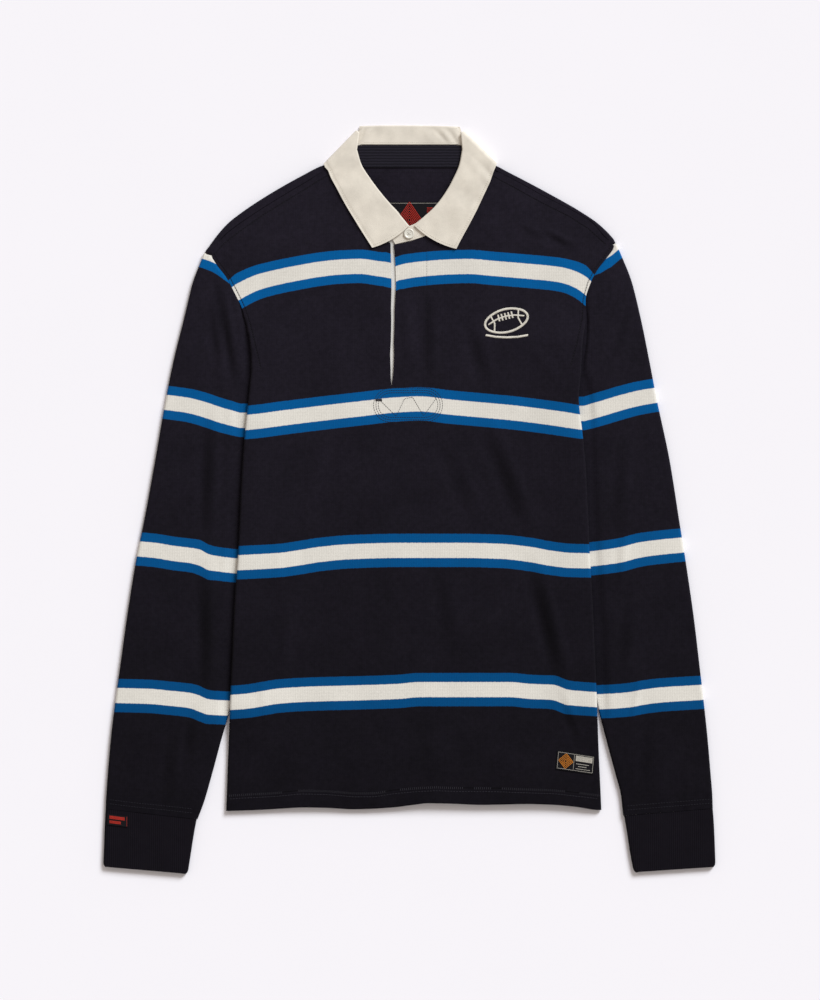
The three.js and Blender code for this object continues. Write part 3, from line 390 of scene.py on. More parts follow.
# Soft folds: place, lean in degrees, half width, half length and rise, in millimetres
FOLD_COLUMNS = "x y lean width reach rise"
BODY_FOLDS = table(FOLD_COLUMNS, [
    (137, 370, 10, 26, 120, 0.6), (172, 205, 12, 22, 90, 0.5), (-128, 330, 4, 34, 130, 0.7),
    (-150, 200, 8, 22, 80, 0.7), (12, 190, 2, 46, 120, 0.6), (62, 480, -3, 40, 110, -0.5),
    (-70, 520, 5, 44, 120, 0.6),
    (-140, 300, 5, 10, 110, 0.6), (-118, 340, 3, 12, 100, -0.5), (-158, 180, 9, 9, 70, 0.6),
    (96, 560, 24, 14, 90, 0.7), (-100, 600, -26, 16, 90, 0.7), (150, 560, 38, 10, 60, 0.8),
    (-146, 590, -34, 10, 60, 0.8), (40, 120, 3, 16, 60, 0.7), (-60, 110, -4, 18, 55, 0.6),
    (110, 105, 5, 13, 50, 0.6), (-20, 300, 2, 22, 120, 0.4), (90, 270, -3, 18, 90, 0.5),
    (-185, 430, 2, 6, 100, -0.5), (186, 400, -2, 6, 110, -0.5), (-52, 690, -22, 12, 60, 0.6),
    (96, 700, 30, 12, 60, 0.6), (-118, 700, -40, 10, 60, 0.5), (150, 690, 44, 10, 50, 0.6),
    (-176, 646, -28, 6, 30, 0.9), (-164, 640, -24, 6, 34, -0.6), (-160, 600, -16, 7, 50, 0.6),
    (186, 636, 26, 6, 34, 0.8), (172, 620, 20, 7, 44, -0.5), (166, 585, 14, 8, 50, 0.6),
])
BACK_FOLDS = table(FOLD_COLUMNS, [
    (-60, 640, 20, 16, 90, 0.5), (70, 620, -24, 16, 90, 0.5), (0, 700, 2, 20, 70, 0.4),
    (-20, 760, 60, 7, 26, 0.35), (24, 756, -55, 7, 24, 0.35),
])
SLEEVE_FOLDS = table(FOLD_COLUMNS, [
    (-222, 300, 4, 16, 120, 0.7), (-226, 190, 6, 15, 90, 0.6), (-262, 420, 8, 22, 110, 0.6),
    (235, 320, -6, 18, 110, 0.6), (247, 190, -7, 16, 90, 0.6), (268, 440, -9, 22, 100, 0.5),
    (236, 350, -6, 7, 70, 0.8), (226, 344, -6, 6, 60, -0.5),
    (249, 190, -8, 6, 60, 0.8), (-214, 560, 20, 10, 60, 0.8), (-226, 600, 24, 9, 50, -0.5),
    (224, 560, -22, 10, 60, 0.8), (236, 602, -26, 9, 50, -0.5), (-268, 120, 4, 14, 60, 0.6),
    (-296, 104, 2, 9, 40, 0.5), (280, 120, -4, 14, 60, 0.6), (306, 104, -2, 9, 40, 0.5),
    (-290, 330, 7, 9, 90, 0.5), (292, 330, -7, 9, 90, 0.5),
])
NO_FOLDS = table(FOLD_COLUMNS, [(0, 0, 0, 1, 1, 0)])

# Creases: the cloth dips on the left of the line and stands up on the right of it; its colour also gets
# painted shade along the line
BODY_CREASES = table(FOLD_COLUMNS, [
    (108, 436, 22, 18, 84, 1.5), (152, 276, 13.8, 17, 90, 2.2), (178, 168, 20, 11, 40, 1.0),
    (41, 290, 8.4, 18, 62, 0.9), (57, 430, 23, 18, 70, 0.8), (76, 572, 14, 15, 54, 1.2),
    (22, 590, 0, 12, 72, 1.1), (4, 596, 2, 13, 60, -0.9), (2, 556, -52, 6, 26, 0.9),
    (-2, 574, -48, 5, 20, 0.6), (8, 538, -60, 5, 20, 0.6),
    (163, 698, 63, 8, 28, 1.1), (138, 704, 60, 7, 24, 0.6), (-150, 694, -58, 7, 26, -0.6),
    (-130, 250, -6, 16, 70, -0.5), (-96, 440, -10, 18, 80, -0.5), (20, 130, 6, 14, 50, 0.5),
])
SLEEVE_CREASES = table(FOLD_COLUMNS, [
    (-200, 594, 10.5, 11, 84, 1.7), (-212, 590, 4, 11, 62, 1.1), (-221, 435, -1.7, 15, 92, 1.8),
    (-223, 265, 0, 16, 92, 2.1), (-262, 122, -4.4, 14, 62, 1.0), (-240, 150, -6, 11, 44, 0.8),
    (232, 430, -4, 14, 70, 0.7), (238, 262, -5, 14, 70, 0.8), (262, 130, -4, 14, 56, 0.6),
    (236, 600, -20, 9, 40, 0.6),
])
BODY_SHAPE = (BODY_FOLDS, BODY_CREASES)
SLEEVE_SHAPE = (SLEEVE_FOLDS, SLEEVE_CREASES)


# Small sums

def smooth(t):
    c = np.clip(t, 0.0, 1.0)
    return c * c * (3.0 - 2.0 * c)


def mix(a, b, t):
    return a + (b - a) * t


def gentle(xs, ys, at):
    """Smooth curve through named rows that never overshoots them."""
    xs = np.asarray(xs, float)
    ys = np.asarray(ys, float)
    step = np.diff(xs)
    slope = np.diff(ys) / step
    lean = np.zeros_like(ys)
    same = slope[:-1] * slope[1:] > 0
    both = np.where(same, slope[:-1] + slope[1:], 1.0)
    lean[1:-1] = np.where(same, 2.0 * slope[:-1] * slope[1:] / both, 0.0)
    lean[0] = slope[0]
    lean[-1] = slope[-1]
    at = np.clip(at, xs[0], xs[-1])
    k = np.clip(np.searchsorted(xs, at, side="right") - 1, 0, len(step) - 1)
    t = (at - xs[k]) / step[k]
    h00 = (1 + 2 * t) * (1 - t) ** 2
    h10 = t * (1 - t) ** 2
    h01 = t * t * (3 - 2 * t)
    h11 = t * t * (t - 1)
    return h00 * ys[k] + h10 * step[k] * lean[k] + h01 * ys[k + 1] + h11 * step[k] * lean[k + 1]


def fine_rows(rows, guide, step):
    """Rows between the named ones, about step millimetres apart along the guide column."""
    places = []
    for i, gap in enumerate(np.abs(np.diff(guide))):
        count = max(1, int(math.ceil(gap / step)))
        places.extend(i + np.arange(count) / count)
    places.append(len(guide) - 1)
    at = np.array(places)
    index = np.arange(len(guide))
    return {key: gentle(index, values, at) for key, values in rows.items()}, at


def one_row(rows, i):
    return {key: values[i] for key, values in rows.items()}


def fold_parts(folds, x, y):
    """For each fold: its rise where the points lie along it, and how far across it they are."""
    for place_x, place_y, turn, width, reach, rise in zip(*folds.values()):
        lean = math.radians(turn)
        dx = x - place_x
        dy = y - place_y
        across = np.clip((dx * math.cos(lean) + dy * math.sin(lean)) / width, -1, 1)
        along = np.abs(dy * math.cos(lean) - dx * math.sin(lean)) / reach
        yield rise * (1 - smooth(along)), across


def fold_height(folds, x, y):
    total = np.zeros(np.broadcast(x, y).shape)
    for rise, across in fold_parts(folds, x, y):
        total = total + rise * (1 - smooth(np.abs(across)))
    return total


def crease_height(creases, x, y):
    """A trough beside a ridge; 3.5 brings the curve's top to the crease's rise."""
    total = np.zeros(np.broadcast(x, y).shape)
    for rise, across in fold_parts(creases, x, y):
        total = total + rise * 3.5 * across * (1 - across**2) ** 2
    return total


def painted_crease_shade(creases, x, y):
    """Painted shade along the creases: how far the cloth's colour is darkened on their side that leans away
    from the light, up to about one; below zero it is lightened.
    """
    total = np.zeros(np.broadcast(x, y).shape)
    for rise, across in fold_parts(creases, x, y):
        total = total + rise / 2 * (1 - across**2) ** 3
    return np.clip(total, -0.8, 1.2)


def laid_relief(shape, x, y):
    """Folds and creases together."""
    folds, creases = shape
    return fold_height(folds, x, y) + crease_height(creases, x, y)


def cloth_waviness(x, y, seed):
    """Long shallow waves that no laid cloth is free of."""
    local = np.random.default_rng(seed)
    total = np.zeros(np.broadcast(x, y).shape)
    for _ in range(9):
        angle = local.uniform(0, math.pi)
        length = local.uniform(38, 120)
        phase = local.uniform(0, 2 * math.pi)
        total = total + np.sin((x * math.cos(angle) + y * math.sin(angle)) / length * 2 * math.pi + phase)
    return total * 0.045


# Cloth grids

ROLL_STEPS = 9
RETURN_STEPS = 7
SIDE_ROLL_RADIUS = 1.91


def edge_path(row):
    """Cloth beyond the flat part of one panel edge: the roll, then the part turned under or over."""
    turn = math.radians(row["turn"])
    upward = row["end"] > row["z"] + 0.01
    radius = (row["end"] - row["z"]) / 2 if upward and row["turn"] > 179 else SIDE_ROLL_RADIUS
    bend = 1 if upward else -1
    length = max(1.5, radius * turn)
    share = np.arange(1, ROLL_STEPS + 1) / ROLL_STEPS
    if turn > 0.01:
        out = length / turn * np.sin(turn * share)
        rise = length / turn * (1 - np.cos(turn * share))
    else:
        out = length * share
        rise = np.zeros(ROLL_STEPS)
    z = row["z"] + bend * rise
    flat = row["turn"] < 90
    whole = row["turn"] > 179
    start = 0.0 if flat else row["edge"] - JERSEY / 2 - max(0.0, out.max())
    returned = max(1.0, start - row["seam"]) if whole else 1.0
    back = np.arange(1, RETURN_STEPS + 1) / RETURN_STEPS
    back_out = out[-1] + math.cos(turn) * returned * back
    back_z = z[-1] + bend * math.sin(turn) * returned * back
    if whole:
        drop = smooth((returned * back - (returned - 11.5)) / 11.5)
        back_z = mix(back_z, row["end"], drop)
    outs = np.concatenate([out, back_out])
    base = row["edge"] - outs.max() if flat else start
    return base, base + outs, np.concatenate([z, back_z])


def panel_grid(left, right, shape, seed, step, wave):
    """Middle of a panel's cloth, row by row from the hem up, with its turned sides."""
    fine_left, at = fine_rows(left, left["y"], step)
    fine_right, at = fine_rows(right, left["y"], step)
    even = np.linspace(0, 1, PANEL_COLUMNS)
    shares = even - 0.035 * np.sin(2 * math.pi * even)
    grid = []
    for i in range(len(at)):
        a = one_row(fine_left, i)
        b = one_row(fine_right, i)
        base_a, out_a, z_a = edge_path(a)
        base_b, out_b, z_b = edge_path(b)
        x = mix(-base_a, base_b, shares)
        y = mix(a["y"], b["y"], shares)
        from_a = x + base_a
        from_b = base_b - x
        near_a = mix(a["z"], a["middle"], smooth(from_a / EDGE_RAMP))
        near_b = mix(b["z"], b["middle"], smooth(from_b / EDGE_RAMP))
        blend = smooth((x + 40) / 80)
        z = mix(near_a, near_b, blend)
        keep = smooth((np.minimum(from_a, from_b) - 4) / 30)
        soft = smooth(np.minimum(from_a, from_b) / 12)
        z = z + keep * laid_relief(shape, x, y) + soft * wave * cloth_waviness(x, y, seed)
        xs = np.concatenate([-out_a[::-1], x, out_b])
        ys = np.concatenate([np.full(len(out_a), a["y"]), y, np.full(len(out_b), b["y"])])
        zs = np.concatenate([z_a[::-1], z, z_b])
        grid.append(np.stack([xs, ys, zs], axis=1))
    return np.array(grid)


def lift_hem(grid, rise):
    """The hem waves: where its edge draws up it also stands a little off the surface."""
    fade = 1 - smooth((grid[..., 1] - 70) / 110)
    lift = gentle(HEM_LIFT["x"], HEM_LIFT["lift"], grid[..., 0])
    grid[..., 1] += fade * lift
    grid[..., 2] += fade * rise * lift
    return grid


def arm_shares(armhole, count):
    """Places across a sleeve, even along the armhole, and how far the armhole bows off its chord."""
    dx = armhole["x"][-1] - armhole["x"][0]
    dy = armhole["y"][-1] - armhole["y"][0]
    length = math.hypot(dx, dy)
    ax = armhole["x"] - armhole["x"][0]
    ay = armhole["y"] - armhole["y"][0]
    along = (ax * dx + ay * dy) / length**2
    off = (ay * dx - ax * dy) / length
    even = np.linspace(0, 1, count)
    index = np.linspace(0, 1, len(along))
    share = gentle(index, along, even)
    return share, gentle(along, off, share), even


def tube_grid(rings, armhole, top, shape, step, wave, seed, even_only=False):
    """Middle of a laid tube's cloth, ring by ring from its upper end down."""
    count = TUBE_COLUMNS
    fine, at = fine_rows(rings, rings["oy"], step)
    share, off, even = arm_shares(armhole, count)
    roll = np.radians(np.linspace(-75, 75, 9))
    grid = []
    for i in range(len(at)):
        ring = one_row(fine, i)
        dx = ring["ix"] - ring["ox"]
        dy = ring["iy"] - ring["oy"]
        length = math.hypot(dx, dy)
        ux = dx / length
        uy = dy / length
        evenness = 1.0 if even_only else float(smooth(at[i] / 4))

        def top_at(along, ring=ring, length=length):
            low = 1 - smooth(((1 - along) * length - ring["hidden"] - 3) / 9)
            lowest = SLEEVE_LOW
            if ring["hidden"] <= 0:
                lowest = mix(top, SLEEVE_LOW, smooth((ring["hidden"] + 9) / 9))
            return mix(top, lowest, low)

        radius_out = (float(top_at(np.array(0.0))) - FLOOR) / 2
        radius_in = (float(top_at(np.array(1.0))) - FLOOR) / 2
        inset_out = (radius_out + JERSEY / 2) / length
        inset_in = (radius_in + JERSEY / 2) / length
        raw = mix(share, even, evenness)
        along = mix(inset_out, 1 - inset_in, raw)
        bow = off * ring["follow"]

        def plan(place, aside, ring=ring, ux=ux, uy=uy, length=length):
            x = ring["ox"] + ux * place * length - uy * aside
            y = ring["oy"] + uy * place * length + ux * aside
            return x, y

        x, y = plan(along, bow)
        from_in = (1 - along) * length
        from_out = along * length
        keep = smooth((from_in - ring["hidden"] - 8) / 20) * smooth((from_out - 6) / 20)
        soft = smooth((from_in - max(ring["hidden"], 0) - 6) / 12) * smooth(from_out / 12)
        z = top_at(along) + keep * laid_relief(shape, x, y) + soft * wave * cloth_waviness(x, y, seed)
        lower = np.stack([x, y, np.full(count, FLOOR)], axis=1)
        upper = np.stack([x, y, z], axis=1)
        out_x, out_y = plan(along[0] - np.cos(roll) * radius_out / length, bow[0])
        outer = np.stack([out_x, out_y, FLOOR + radius_out * (1 + np.sin(roll))], axis=1)
        in_x, in_y = plan(along[-1] + np.cos(roll) * radius_in / length, bow[-1])
        inner = np.stack([in_x, in_y, FLOOR + radius_in * (1 + np.sin(roll))], axis=1)[::-1]
        grid.append(np.concatenate([lower[::-1], outer, upper, inner]))
    return np.array(grid)


def tuck_first_ring(grid, reach):
    """Seam allowance: the ring's cloth runs on between the layers that it is sewn to."""
    first = grid[0].copy()
    step = grid[3] - grid[0]
    step[:, 2] = 0
    step /= np.linalg.norm(step, axis=1)[:, None] + 1e-9
    middle = first[:, 2].min() + (first[:, 2].max() - first[:, 2].min()) / 2
    inward = np.where(first[:, 2] > middle, -1.5, 1.5)
    centre = first.mean(axis=0)
    extra = []
    for share in (1.0, 0.45):
        ring = centre + (first - centre) * (1 - 0.032 * share)
        ring -= step * reach * share
        ring[:, 2] = first[:, 2] + inward * min(1.0, share * 1.6)
        extra.append(ring)
    return np.concatenate([np.array(extra), grid])


def soften_corners(grid, reach):
    """Draw in the last rows of a tube so that its laid corners are round, not pointed."""
    middle = grid[-1].mean(axis=0)
    for back, share in ((1, 1.0), (2, 0.3), (3, 0.08)):
        row = grid[-back]
        out = row[:, 0] - middle[0]
        half = np.abs(out).max()
        row[:, 0] -= np.sign(out) * reach * share * smooth((np.abs(out) / half - 0.8) / 0.2)
    return grid


# Collar grids

def fold_rulings(fold, length, backwards):
    """Rulings round the fold at the side of the neck, from the layer below to the leaf on top."""
    rx, ry, ex, ey = fold
    dx = ex - rx
    dy = ey - ry
    full = math.hypot(dx, dy)
    side = 1 if ex > 0 else -1
    outward = np.array([-dy / full, dx / full])
    if outward[0] * side < 0:
        outward = -outward
    inward = COLLAR_RADIUS + LAYER_STEP + COLLAR / 2
    rulings = []
    for degrees in np.linspace(90, -90, COLLAR_STEPS):
        angle = math.radians(degrees)
        shift = COLLAR_RADIUS * math.cos(angle) - inward
        x = rx + outward[0] * shift
        y = ry + outward[1] * shift
        z = COLLAR_AXIS + COLLAR_RADIUS * math.sin(angle)
        normal = (outward[0] * math.cos(angle), outward[1] * math.cos(angle), math.sin(angle))
        reach = (length + CORNER_EASE * (1 - math.cos(angle))) / full
        rulings.append((x, y, x + dx * reach, y + dy * reach, z, *normal, 0.0))
    return rulings[::-1] if backwards else rulings


def flat_rulings(rows, up, steps, heights=False):
    """Rulings of a flat stretch; its rows' last column is a height or the bow of the leaf."""
    data = np.array(rows, float)
    index = np.arange(len(data))
    at = np.linspace(0, len(data) - 1, steps)
    columns = [gentle(index, data[:, k], at) for k in range(5)]
    rulings = []
    for rx, ry, ex, ey, last in zip(*columns):
        z = last + up * LAYER_STEP if heights else COLLAR_AXIS + up * COLLAR_RADIUS
        bow = 0.0 if heights else last
        rulings.append((rx, ry, ex, ey, z, 0.0, 0.0, float(up), bow))
    return rulings


def strip_grid(rulings, layer, columns, relief):
    """Middle of the collar's cloth: each ruling rolls off the neck, then runs out flat."""
    roll = np.radians([20, 26, 38, 50, 62, 74, 84, 90])
    rows = []
    for rx, ry, ex, ey, z0, nx, ny, nz, bow in rulings:
        length = math.hypot(ex - rx, ey - ry)
        ux = (ex - rx) / length
        uy = (ey - ry) / length
        start = COLLAR / 2 + LAYER_STEP
        share = np.linspace(0, 1, columns)[1:]
        place = np.concatenate([COLLAR / 2 + LAYER_STEP * (1 - np.cos(roll)), mix(start, length, share)])
        lift = np.concatenate([LAYER_STEP * np.sin(roll), np.full(columns - 1, LAYER_STEP)])
        side = 1 if ex > 0 else -1
        swing = np.concatenate([np.zeros(len(roll)), bow * 4 * share * (1 - share) * -side])
        extra = relief(rx, ry, place, length, nz) * np.minimum(1, place / 6)
        lift = lift + extra * layer
        x = rx + ux * place - uy * swing + nx * lift * layer
        y = ry + uy * place + ux * swing + ny * lift * layer
        z = z0 + nz * lift * layer
        rows.append(np.stack([x, y, z], axis=1))
    return np.array(rows)


# Meshes

def to_frame(points):
    moved = np.array(points, float).reshape(-1, 3)
    moved[:, 1] -= MIDDLE_Y
    moved[:, 2] += SURFACE_Z
    return moved * MM


def mesh_object(name, points, faces):
    mesh = bpy.data.meshes.new(name)
    mesh.from_pydata(to_frame(points).tolist(), [], [tuple(int(v) for v in face) for face in faces])
    mesh.validate()
    mesh.update()
    obj = bpy.data.objects.new(name, mesh)
    bpy.context.scene.collection.objects.link(obj)
    return obj


def face_outwards(mesh):
    bm = bmesh.new()
    bm.from_mesh(mesh)
    bmesh.ops.recalc_face_normals(bm, faces=bm.faces)
    bm.to_mesh(mesh)
    bm.free()


def shade_smooth(mesh, sharp_edge=None):
    for polygon in mesh.polygons:
        polygon.use_smooth = True
    if sharp_edge is not None:
        mesh.set_sharp_from_angle(angle=sharp_edge)


def grid_normals(grid, closed):
    along = np.empty_like(grid)
    along[1:-1] = grid[2:] - grid[:-2]
    along[0] = grid[1] - grid[0]
    along[-1] = grid[-1] - grid[-2]
    if closed:
        across = np.roll(grid, -1, axis=1) - np.roll(grid, 1, axis=1)
    else:
        across = np.empty_like(grid)
        across[:, 1:-1] = grid[:, 2:] - grid[:, :-2]
        across[:, 0] = grid[:, 1] - grid[:, 0]
        across[:, -1] = grid[:, -1] - grid[:, -2]
    normal = np.cross(across, along)
    return normal / (np.linalg.norm(normal, axis=2)[..., None] + 1e-12)


def cloth_wall(name, grid, thickness, closed=False):
    """A thin closed shell of cloth round a grid of middle points."""
    normal = grid_normals(grid, closed)
    rows, cols = grid.shape[:2]
    points = np.concatenate([
        (grid + normal * thickness / 2).reshape(-1, 3),
        (grid - normal * thickness / 2).reshape(-1, 3),
    ])
    spans = cols if closed else cols - 1
    i, j = np.meshgrid(np.arange(rows - 1), np.arange(spans), indexing="ij")
    i = i.ravel()
    j = j.ravel()
    nxt = (j + 1) % cols
    a = i * cols + j
    b = i * cols + nxt
    c = (i + 1) * cols + nxt
    d = (i + 1) * cols + j
    under = rows * cols
    faces = [np.stack([a, b, c, d], 1), np.stack([a, d, c, b], 1) + under]
    j = np.arange(spans)
    nxt = (j + 1) % cols
    last = (rows - 1) * cols
    faces.append(np.stack([j + under, nxt + under, nxt, j], 1))
    faces.append(np.stack([j + last, nxt + last, nxt + last + under, j + last + under], 1))
    if not closed:
        i = np.arange(rows - 1) * cols
        faces.append(np.stack([i, i + cols, i + cols + under, i + under], 1))
        i = i + cols - 1
        faces.append(np.stack([i + under, i + cols + under, i + cols, i], 1))
    obj = mesh_object(name, points, np.concatenate(faces))
    shade_smooth(obj.data, SHARP_EDGE)
    return obj


def cut_through(obj, outlines):
    """Cut outlines straight through a piece, as a maker cuts a neck hole or drills a button."""
    tools = []
    for outline in outlines:
        count = len(outline)
        points = [(x, y, -6.0) for x, y in outline] + [(x, y, 20.0) for x, y in outline]
        faces = [tuple(range(count))[::-1], tuple(range(count, 2 * count))]
        faces += [(k, (k + 1) % count, count + (k + 1) % count, count + k) for k in range(count)]
        tool = mesh_object("pattern_cut", points, faces)
        face_outwards(tool.data)
        tools.append(tool)
    for tool in tools:
        modifier = obj.modifiers.new("cut", "BOOLEAN")
        modifier.operation = "DIFFERENCE"
        modifier.solver = "EXACT"
        modifier.object = tool
    graph = bpy.context.evaluated_depsgraph_get()
    cut = bpy.data.meshes.new_from_object(obj.evaluated_get(graph))
    obj.modifiers.clear()
    old = obj.data
    obj.data = cut
    bpy.data.meshes.remove(old)
    for tool in tools:
        bpy.data.objects.remove(tool)
    return obj


def stripe_place(lines, x, y):
    """Height in the flat cloth, in millimetres: zero and each repeat below it are middles of white."""
    middles = np.array([gentle(line["x"], line["y"], x) for line in lines])
    ahead = np.array([gentle(line["x"], line["y"], x + SLOPE_REACH) for line in lines])
    before = np.array([gentle(line["x"], line["y"], x - SLOPE_REACH) for line in lines])
    half = STRIPE_HALF + STRIPE_MARGIN
    reach = half * np.hypot(1.0, (ahead - before) / (2 * SLOPE_REACH))
    knots_y = []
    knots_v = []
    for k in range(len(lines)):
        knots_y.append(middles[k] + reach[k])
        knots_v.append(-k * STRIPE_REPEAT + half)
        knots_y.append(middles[k] - reach[k])
        knots_v.append(-k * STRIPE_REPEAT - half)
    v = knots_v[0] + (y - knots_y[0])
    for k in range(len(knots_y) - 1):
        high = knots_y[k]
        low = knots_y[k + 1]
        t = (high - y) / (high - low)
        inside = (y <= high) & (y > low)
        v = np.where(inside, mix(knots_v[k], knots_v[k + 1], t), v)
    return np.where(y <= knots_y[-1], knots_v[-1] + (y - knots_y[-1]), v)


def laid_points(mesh):
    """Where the mesh's points lie in the laid garment, in millimetres."""
    co = np.empty(len(mesh.vertices) * 3)
    mesh.vertices.foreach_get("co", co)
    co = co.reshape(-1, 3) / MM
    return co[:, 0], co[:, 1] + MIDDLE_Y


def mark_points(mesh, name, values):
    attribute = mesh.attributes.new(name, "FLOAT", "POINT")
    attribute.data.foreach_set("value", values.astype(np.float32))


def knit_stripes(obj, lines, creases):
    """Mark on the cloth where its stripes are, and how much painted shade darkens it along its creases."""
    x, y = laid_points(obj.data)
    v = stripe_place(lines, x, y)
    v = np.clip(v, -len(lines) * STRIPE_REPEAT + STRIPE_REPEAT / 2, STRIPE_REPEAT / 2)
    mark_points(obj.data, "cloth_height", v)
    mark_points(obj.data, "painted_crease_shade", painted_crease_shade(creases, x, y))


# A sewn line's attribute holds 100 on the line, as cloth without that line holds zero.
SEWN_LINE = 100.0
NO_SEAM = 1000.0


def from_seam(x, y, path):
    """Millimetres to a sewn line, positive on its left; far off beyond its ends."""
    path = np.array(path, float)
    best = np.full(x.shape, NO_SEAM)
    nearest = np.full(x.shape, 1e9)
    last = len(path) - 2
    for k in range(len(path) - 1):
        ax, ay = path[k]
        dx, dy = path[k + 1] - path[k]
        length = math.hypot(dx, dy)
        along = ((x - ax) * dx + (y - ay) * dy) / length
        side = ((y - ay) * dx - (x - ax) * dy) / length
        beyond = ((along < 0) & (k == 0)) | ((along > length) & (k == last))
        over = np.where(along < 0, -along, np.where(along > length, along - length, 0.0))
        far = np.hypot(side, over)
        closer = far < nearest
        value = np.where(beyond, NO_SEAM, np.copysign(far, side))
        best = np.where(closer, value, best)
        nearest = np.where(closer, far, nearest)
    return best


def sew_line(obj, name, *paths):
    """Mark on the cloth how far each point lies from a sewn line, so that the line can pull it in."""
    x, y = laid_points(obj.data)
    value = np.full(len(x), NO_SEAM)
    for path in paths:
        each = from_seam(x, y, path)
        value = np.where(np.abs(each) < np.abs(value), each, value)
    mark_points(obj.data, name, value + SEWN_LINE)


def lying_on(obj):
    """The height of a piece's upper face, for what is sewn on it."""
    mesh = obj.data
    tree = BVHTree.FromPolygons(
        [v.co.copy() for v in mesh.vertices],
        [tuple(p.vertices) for p in mesh.polygons],
    )

    def height(x, y):
        hit = tree.ray_cast(Vector((x * MM, (y - MIDDLE_Y) * MM, 0.05)), Vector((0, 0, -1)))
        return 0.0 if hit[0] is None else hit[0].z / MM - SURFACE_Z

    return height


def spread(path, pitch):
    """Points about pitch millimetres apart along a path, with the direction at each."""
    path = np.array(path, float)
    leg = np.linalg.norm(np.diff(path, axis=0), axis=1)
    length = np.concatenate([[0], np.cumsum(leg)])
    count = max(2, int(round(length[-1] / pitch)) + 1)
    at = np.linspace(0, length[-1], count)
    x = np.interp(at, length, path[:, 0])
    y = np.interp(at, length, path[:, 1])
    points = np.stack([x, y], axis=1)
    heading = np.gradient(points, axis=0)
    heading /= np.linalg.norm(heading, axis=1)[:, None] + 1e-9
    return points, heading


THREAD_SIDES = 6
THREAD_PROFILE = ((-1.0, 0.35, -0.9), (-0.8, 0.85, 0.1), (-0.3, 1.0, 0.55), (0.3, 1.0, 0.55),
                  (0.8, 0.85, 0.1), (1.0, 0.35, -0.9))


def thread_mesh(name, stitches):
    """Joined stitches, each a short thread that arches out of the cloth and dips back into it."""
    points = []
    faces = []
    for x, y, z, ux, uy, half, radius in stitches:
        first = len(points)
        for along, width, rise in THREAD_PROFILE:
            for side in range(THREAD_SIDES):
                angle = 2 * math.pi * side / THREAD_SIDES
                aside = math.cos(angle) * radius * width
                up = math.sin(angle) * radius * width + radius * rise
                points.append((
                    x + ux * along * half - uy * aside,
                    y + uy * along * half + ux * aside,
                    z + up,
                ))
        rings = len(THREAD_PROFILE)
        for ring in range(rings - 1):
            for side in range(THREAD_SIDES):
                a = first + ring * THREAD_SIDES + side
                b = first + ring * THREAD_SIDES + (side + 1) % THREAD_SIDES
                faces.append((a, b, b + THREAD_SIDES, a + THREAD_SIDES))
        faces.append(tuple(first + side for side in range(THREAD_SIDES))[::-1])
        end = first + (rings - 1) * THREAD_SIDES
        faces.append(tuple(end + side for side in range(THREAD_SIDES)))
    obj = mesh_object(name, points, faces)
    face_outwards(obj.data)
    shade_smooth(obj.data)
    return obj


def running_stitch(path, height, pitch=3.0, filled=0.72, radius=0.26, proud=0.0):
    """Stitches one after another along a path, each filling a share of the pitch."""
    points, heading = spread(path, pitch)
    middle = (points[1:] + points[:-1]) / 2
    lean = (heading[1:] + heading[:-1]) / 2
    stitches = []
    for (x, y), (ux, uy) in zip(middle, lean):
        z = height(x, y)
        if z > 0:
            half = pitch * filled / 2
            stitches.append((x, y, z + proud, ux, uy, half, radius))
    return stitches


def satin_stitch(path, height, width, pitch=0.55, radius=0.3, lean=0.25):
    """Close stitches across a path, slightly slanted, as embroidery fills a line."""
    points, heading = spread(path, pitch)
    stitches = []
    for (x, y), (ux, uy) in zip(points, heading):
        ax = -uy + ux * lean
        ay = ux + uy * lean
        size = math.hypot(ax, ay)
        stitches.append((x, y, height(x, y) + 0.1, ax / size, ay / size, width / 2, radius))
    return stitches


# Materials

MATH = "ShaderNodeMath"
VECTOR_MATH = "ShaderNodeVectorMath"
MAP_RANGE = "ShaderNodeMapRange"
MAPPING = "ShaderNodeMapping"
ATTRIBUTE = "ShaderNodeAttribute"
NOISE = "ShaderNodeTexNoise"
WAVE = "ShaderNodeTexWave"
MIX = "ShaderNodeMix"
RGB = "ShaderNodeRGB"
BUMP = "ShaderNodeBump"
# A wave node's scale, over the millimetres that its bands are apart
BAND_SCALE = 0.314


def linear(hex_colour):
    value = int(hex_colour.lstrip("#"), 16)
    out = []
    for shift in (16, 8, 0):
        channel = ((value >> shift) & 255) / 255
        out.append(channel / 12.92 if channel <= 0.04045 else ((channel + 0.055) / 1.055) ** 2.4)
    return (*out, 1.0)


def add(tree, kind, values, out=0):
    """Add one node with its settings and with what feeds its sockets; hand back one of its outputs."""
    node = tree.nodes.new(kind)
    for key, value in values.items():
        if isinstance(value, bpy.types.NodeSocket):
            tree.links.new(value, node.inputs[key])
        elif isinstance(key, int) or key in node.inputs:
            node.inputs[key].default_value = value
        else:
            setattr(node, key, value)
    return node.outputs[out]


def new_material(name, roughness, sheen=0.0, sheen_roughness=0.5, ior=1.5, specular=0.5):
    material = bpy.data.materials.new(name)
    material.use_nodes = True
    tree = material.node_tree
    shader = tree.nodes["Principled BSDF"]
    shader.inputs["Roughness"].default_value = roughness
    shader.inputs["Sheen Weight"].default_value = sheen
    shader.inputs["Sheen Roughness"].default_value = sheen_roughness
    shader.inputs["IOR"].default_value = ior
    shader.inputs["Specular IOR Level"].default_value = specular
    return material, tree, shader


def millimetres(tree):
    """Object coordinates scaled so that one unit is a millimetre."""
    place = add(tree, "ShaderNodeTexCoord", {}, "Object")
    return add(tree, VECTOR_MATH, {"operation": "SCALE", "Scale": 1000.0, 0: place})


